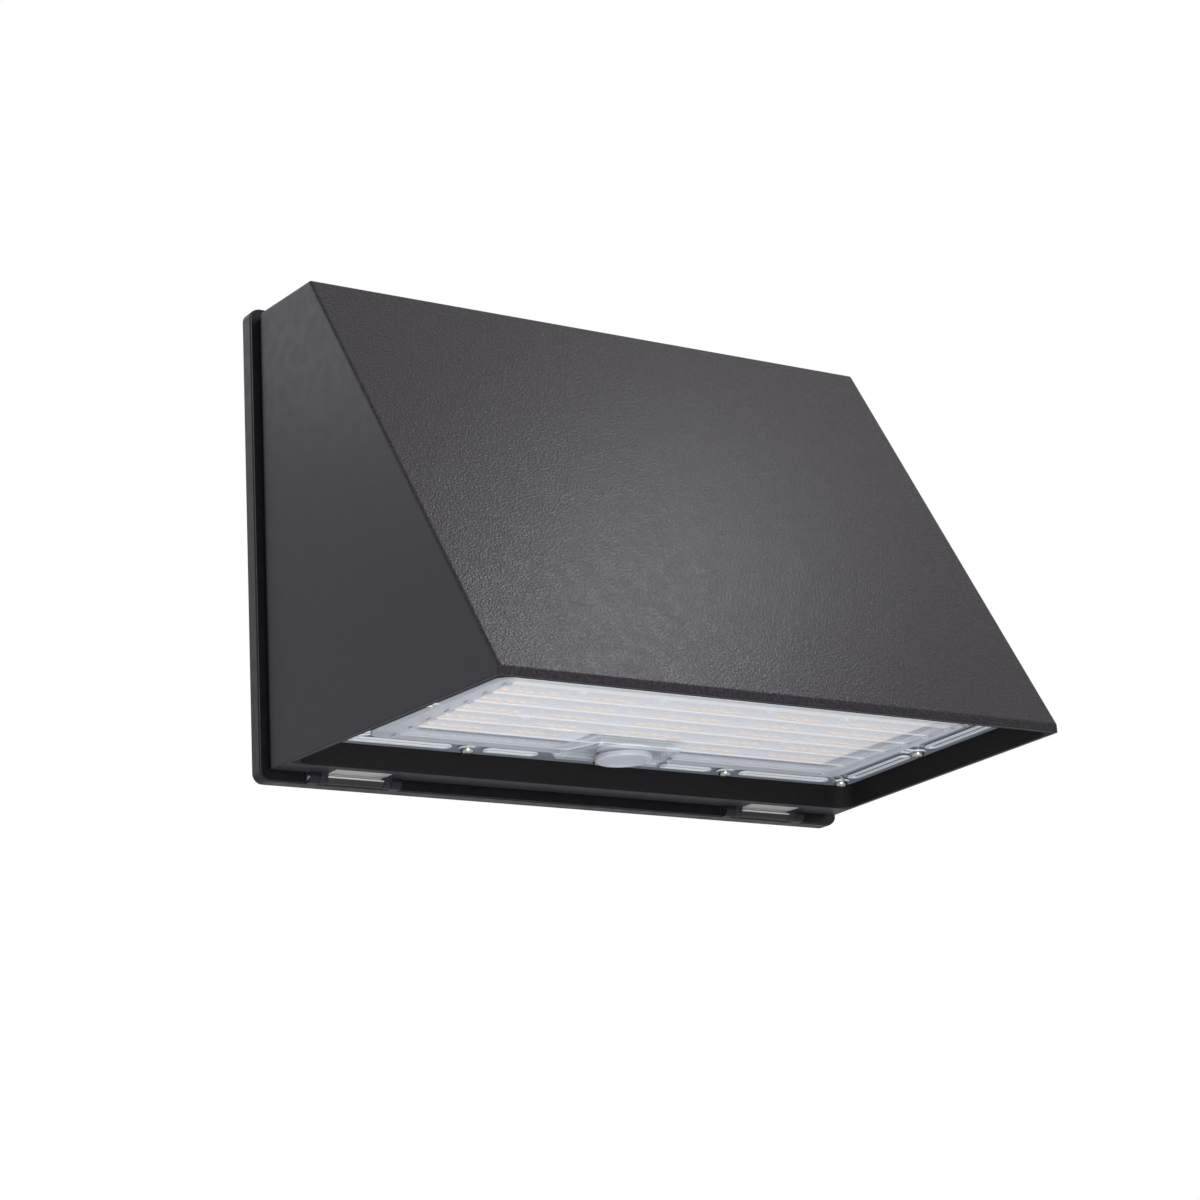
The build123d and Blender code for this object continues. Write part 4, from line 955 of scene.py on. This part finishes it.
class WallpackLightBoard(bpy.types.Operator):
    """Finish the light board and make its chips"""
    bl_idname = "wallpack.light_board"
    bl_label = "Light board"

    def execute(self, context):
        look = context.scene.wallpack_finishes
        detail = context.scene.wallpack_detail
        dress("led_board", board_coat("white_board_coat", look.mask, 0.97, 0.0062))
        dress("thermal_pad", pad_sheet())
        dress("led_connector", plastic("white_connector", CONNECTOR, 0.4))
        solids = solids_of("led_chips")
        low, high = solids[0]
        half = (high - low) / 2
        wall, well = detail.chip_wall, detail.chip_well
        inner_x, inner_y = half.x - wall, half.y - wall
        rim = [((-half.x, -half.y, -half.z), (-inner_x, half.y, half.z)),
               ((inner_x, -half.y, -half.z), (half.x, half.y, half.z)),
               ((-inner_x, -half.y, -half.z), (inner_x, -inner_y, half.z)),
               ((-inner_x, inner_y, -half.z), (inner_x, half.y, half.z))]
        face = [((-inner_x, -inner_y, -half.z + well), (inner_x, inner_y, half.z))]
        places = [(a + b) / 2 for a, b in solids]
        rims = repeated("led_chip_rims", boxes_mesh("chip_rim", rim), places,
                        plastic("chip_package_cream", CHIP_PACKAGE, 0.35))
        faces = repeated("led_chip_faces", boxes_mesh("chip_face", face), places,
                         plastic("chip_phosphor", look.phosphor, 0.45))
        for piece, slot in ((rims, "white_plastic"), (faces, "chip_phosphor")):
            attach(piece, FRONT_BODY)
        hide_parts("led_chips")
        return {"FINISHED"}


class WallpackSensor(bpy.types.Operator):
    """Finish the light sensor behind the cover"""
    bl_idname = "wallpack.sensor"
    bl_label = "Sensor"

    def execute(self, context):
        look = context.scene.wallpack_finishes
        dress("sensor_cap", frosted_cap(look))
        nylon = plastic("white_nylon", NYLON, 0.42)
        dress("sensor_ring", nylon)
        dress("sensor_holder", nylon)
        dress("sensor_board", board_coat("green_board_coat", SENSOR_BOARD, 1.35, 0.0021))
        dress("photocell", plastic("tinted_resin", PHOTOCELL_RESIN, 0.15))
        return {"FINISHED"}


class WallpackFittings(bpy.types.Operator):
    """Finish the driver, the surge protector, the terminal block and their leads"""
    bl_idname = "wallpack.fittings"
    bl_label = "Fittings inside"

    def execute(self, context):
        dress("driver", plastic("driver_white_paint", DRIVER_PAINT, 0.35, 700.0, SKIN_RELIEF))
        dress("surge_protector", plastic("potted_black", POTTING, 0.38))
        dress("terminal_block", plastic("terminal_nylon", TERMINAL_NYLON, 0.45))
        for number, (low, high) in enumerate(solids_of("supply_leads")):
            radius = (high.z - low.z) / 2
            level, bend = (low.z + high.z) / 2, 3 * radius
            run, end = low.y + radius, high.x - radius
            points = [(low.x, run, level), ((low.x + end) / 2, run, level),
                      (end - bend, run, level), (end, run, level), (end, run + bend, level),
                      (end, high.y, level)]
            wire = wire_between("supply_lead_%d" % number, points, radius,
                                plastic("insulation_%d" % number, SUPPLY_LEADS[number], 0.4))
            self.place(wire, "supply_leads")
        for number, (low, high) in enumerate(solids_of("led_leads")):
            radius = (high.y - low.y) / 2
            across, down = (low.y + high.y) / 2, low.x + radius
            top, under = high.z - radius, low.z + radius
            reach = max(vertex.co.x for vertex in NODES["led_leads"].data.vertices
                        if vertex.co.z < low.z + 2 * radius)
            points = [(high.x, across, top), ((high.x + down) / 2, across, top),
                      (down, across, top), (down, across, (top + under) / 2),
                      (down, across, under), (reach, across, under)]
            finish = plastic("board_insulation_%d" % number, BOARD_LEADS[number], 0.4)
            wire = wire_between("led_lead_%d" % number, points, radius, finish)
            self.place(wire, "led_leads")
        return {"FINISHED"}

    def place(self, wire, node):
        """Let a wire ride with the housing in place of its CAD solid."""
        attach(wire, FRONT_BODY)
        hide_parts(node)


def soft_lamp(name, place, target, size, power, tint):
    """Square area lamp that shines from a place toward a target."""
    data = bpy.data.lights.new(name, "AREA")
    data.size = size
    data.energy = power
    data.color = tint
    lamp = bpy.data.objects.new(name, data)
    lamp.location = place
    lamp.rotation_euler = (Vector(target) - Vector(place)).to_track_quat("-Z", "Y").to_euler()
    bpy.context.scene.collection.objects.link(lamp)


def white_for_camera(nodes, links, lit, plain, output):
    """Show a plain white surface to camera, mirror and glass rays, and the lit one to the rest."""
    path = nodes.new("ShaderNodeLightPath")
    seen = path.outputs["Is Camera Ray"]
    for ray in ("Is Glossy Ray", "Is Transmission Ray"):
        either = nodes.new("ShaderNodeMath")
        either.operation = "MAXIMUM"
        links.new(seen, either.inputs[0])
        links.new(path.outputs[ray], either.inputs[1])
        seen = either.outputs[0]
    mix = nodes.new("ShaderNodeMixShader")
    links.new(seen, mix.inputs[0])
    links.new(lit, mix.inputs[1])
    links.new(plain, mix.inputs[2])
    links.new(mix.outputs[0], output)


class WallpackStageSet(bpy.types.Operator):
    """Set the pale floor, the light and the camera"""
    bl_idname = "wallpack.stage"
    bl_label = "Stage"

    def execute(self, context):
        stage = context.scene.wallpack_stage
        self.make_world(context.scene, stage)
        self.make_floor(stage)
        for lamp in LAMPS:
            soft_lamp(*lamp)
        self.make_camera(context.scene, stage)
        context.scene.view_settings.view_transform = "Standard"
        return {"FINISHED"}

    def make_world(self, scene, stage):
        """Even light from all round, seen as white."""
        world = bpy.data.worlds.new("white_room")
        world.use_nodes = True
        nodes, links = world.node_tree.nodes, world.node_tree.links
        lit = nodes["Background"]
        lit.inputs["Color"].default_value = (*WHITE, 1.0)
        lit.inputs["Strength"].default_value = stage.fill
        plain = nodes.new("ShaderNodeBackground")
        plain.inputs["Color"].default_value = (*WHITE, 1.0)
        white_for_camera(nodes, links, lit.outputs[0], plain.outputs[0],
                         nodes["World Output"].inputs["Surface"])
        scene.world = world

    def make_floor(self, stage):
        """Pale floor well under the light, which hangs on a wall; lifted for the camera."""
        paper = Finish("pale_floor", Base_Color=stage.paper, Roughness=0.8)
        path = paper.nodes.new("ShaderNodeLightPath")
        lifted = paper.join("MULTIPLY", path.outputs["Is Camera Ray"], stage.lift)
        paper.drive("Emission Strength", lifted)
        paper.set(Emission_Color=(*WHITE, 1.0))
        height = CAD_BOUNDS[0].z - stage.floor_drop
        sheet = [((-FLOOR_HALF, -FLOOR_HALF, height - FLOOR_THICKNESS),
                  (FLOOR_HALF, FLOOR_HALF, height))]
        floor = new_piece("pale_floor", boxes_mesh("pale_floor", sheet), paper.material)

    def make_camera(self, scene, stage):
        """Camera at the photograph's angle, turned about its own axis by the roll."""
        data = bpy.data.cameras.new("camera")
        data.lens = stage.lens
        camera = bpy.data.objects.new("camera", data)
        flat = math.cos(stage.elevation)
        back = Vector((math.sin(stage.azimuth) * flat, -math.cos(stage.azimuth) * flat,
                       math.sin(stage.elevation)))
        turn = (-back).to_track_quat("-Z", "Y").to_matrix().to_4x4()
        turn = turn @ Matrix.Rotation(stage.roll, 4, "Z")
        camera.matrix_world = Matrix.Translation(Vector(stage.aim) + back * stage.distance) @ turn
        scene.collection.objects.link(camera)
        scene.camera = camera


class WallpackPanel(bpy.types.Panel):
    """Buttons for every group of pieces"""
    bl_idname = "VIEW3D_PT_wallpack"
    bl_label = "Wall pack"
    bl_space_type = "VIEW_3D"
    bl_region_type = "UI"
    bl_category = "Wall pack"

    def draw(self, context):
        for operator in OPERATORS:
            self.layout.operator(operator.bl_idname)
        for name, group in SETTINGS:
            box = self.layout.box()
            for setting in group.__annotations__:
                box.prop(getattr(context.scene, name), setting)


OPERATORS = (
    WallpackCastings,
    WallpackSeals,
    WallpackHinges,
    WallpackCover,
    WallpackScrews,
    WallpackLightBoard,
    WallpackSensor,
    WallpackFittings,
    WallpackStageSet,
)


def register():
    """Add the settings, the operators and the panel."""
    for name, group in SETTINGS:
        bpy.utils.register_class(group)
        setattr(bpy.types.Scene, name, PointerProperty(type=group))
    for operator in OPERATORS:
        bpy.utils.register_class(operator)
    bpy.utils.register_class(WallpackPanel)


def unregister():
    """Take them away again."""
    bpy.utils.unregister_class(WallpackPanel)
    for operator in reversed(OPERATORS):
        bpy.utils.unregister_class(operator)
    for name, group in reversed(SETTINGS):
        delattr(bpy.types.Scene, name)
        bpy.utils.unregister_class(group)


def main():
    """Run every operator in order."""
    register()
    bpy.ops.wallpack.castings()
    bpy.ops.wallpack.seals()
    bpy.ops.wallpack.hinges()
    bpy.ops.wallpack.cover()
    bpy.ops.wallpack.screws()
    bpy.ops.wallpack.light_board()
    bpy.ops.wallpack.sensor()
    bpy.ops.wallpack.fittings()
    bpy.ops.wallpack.stage()


if __name__ == "__main__":
    main()
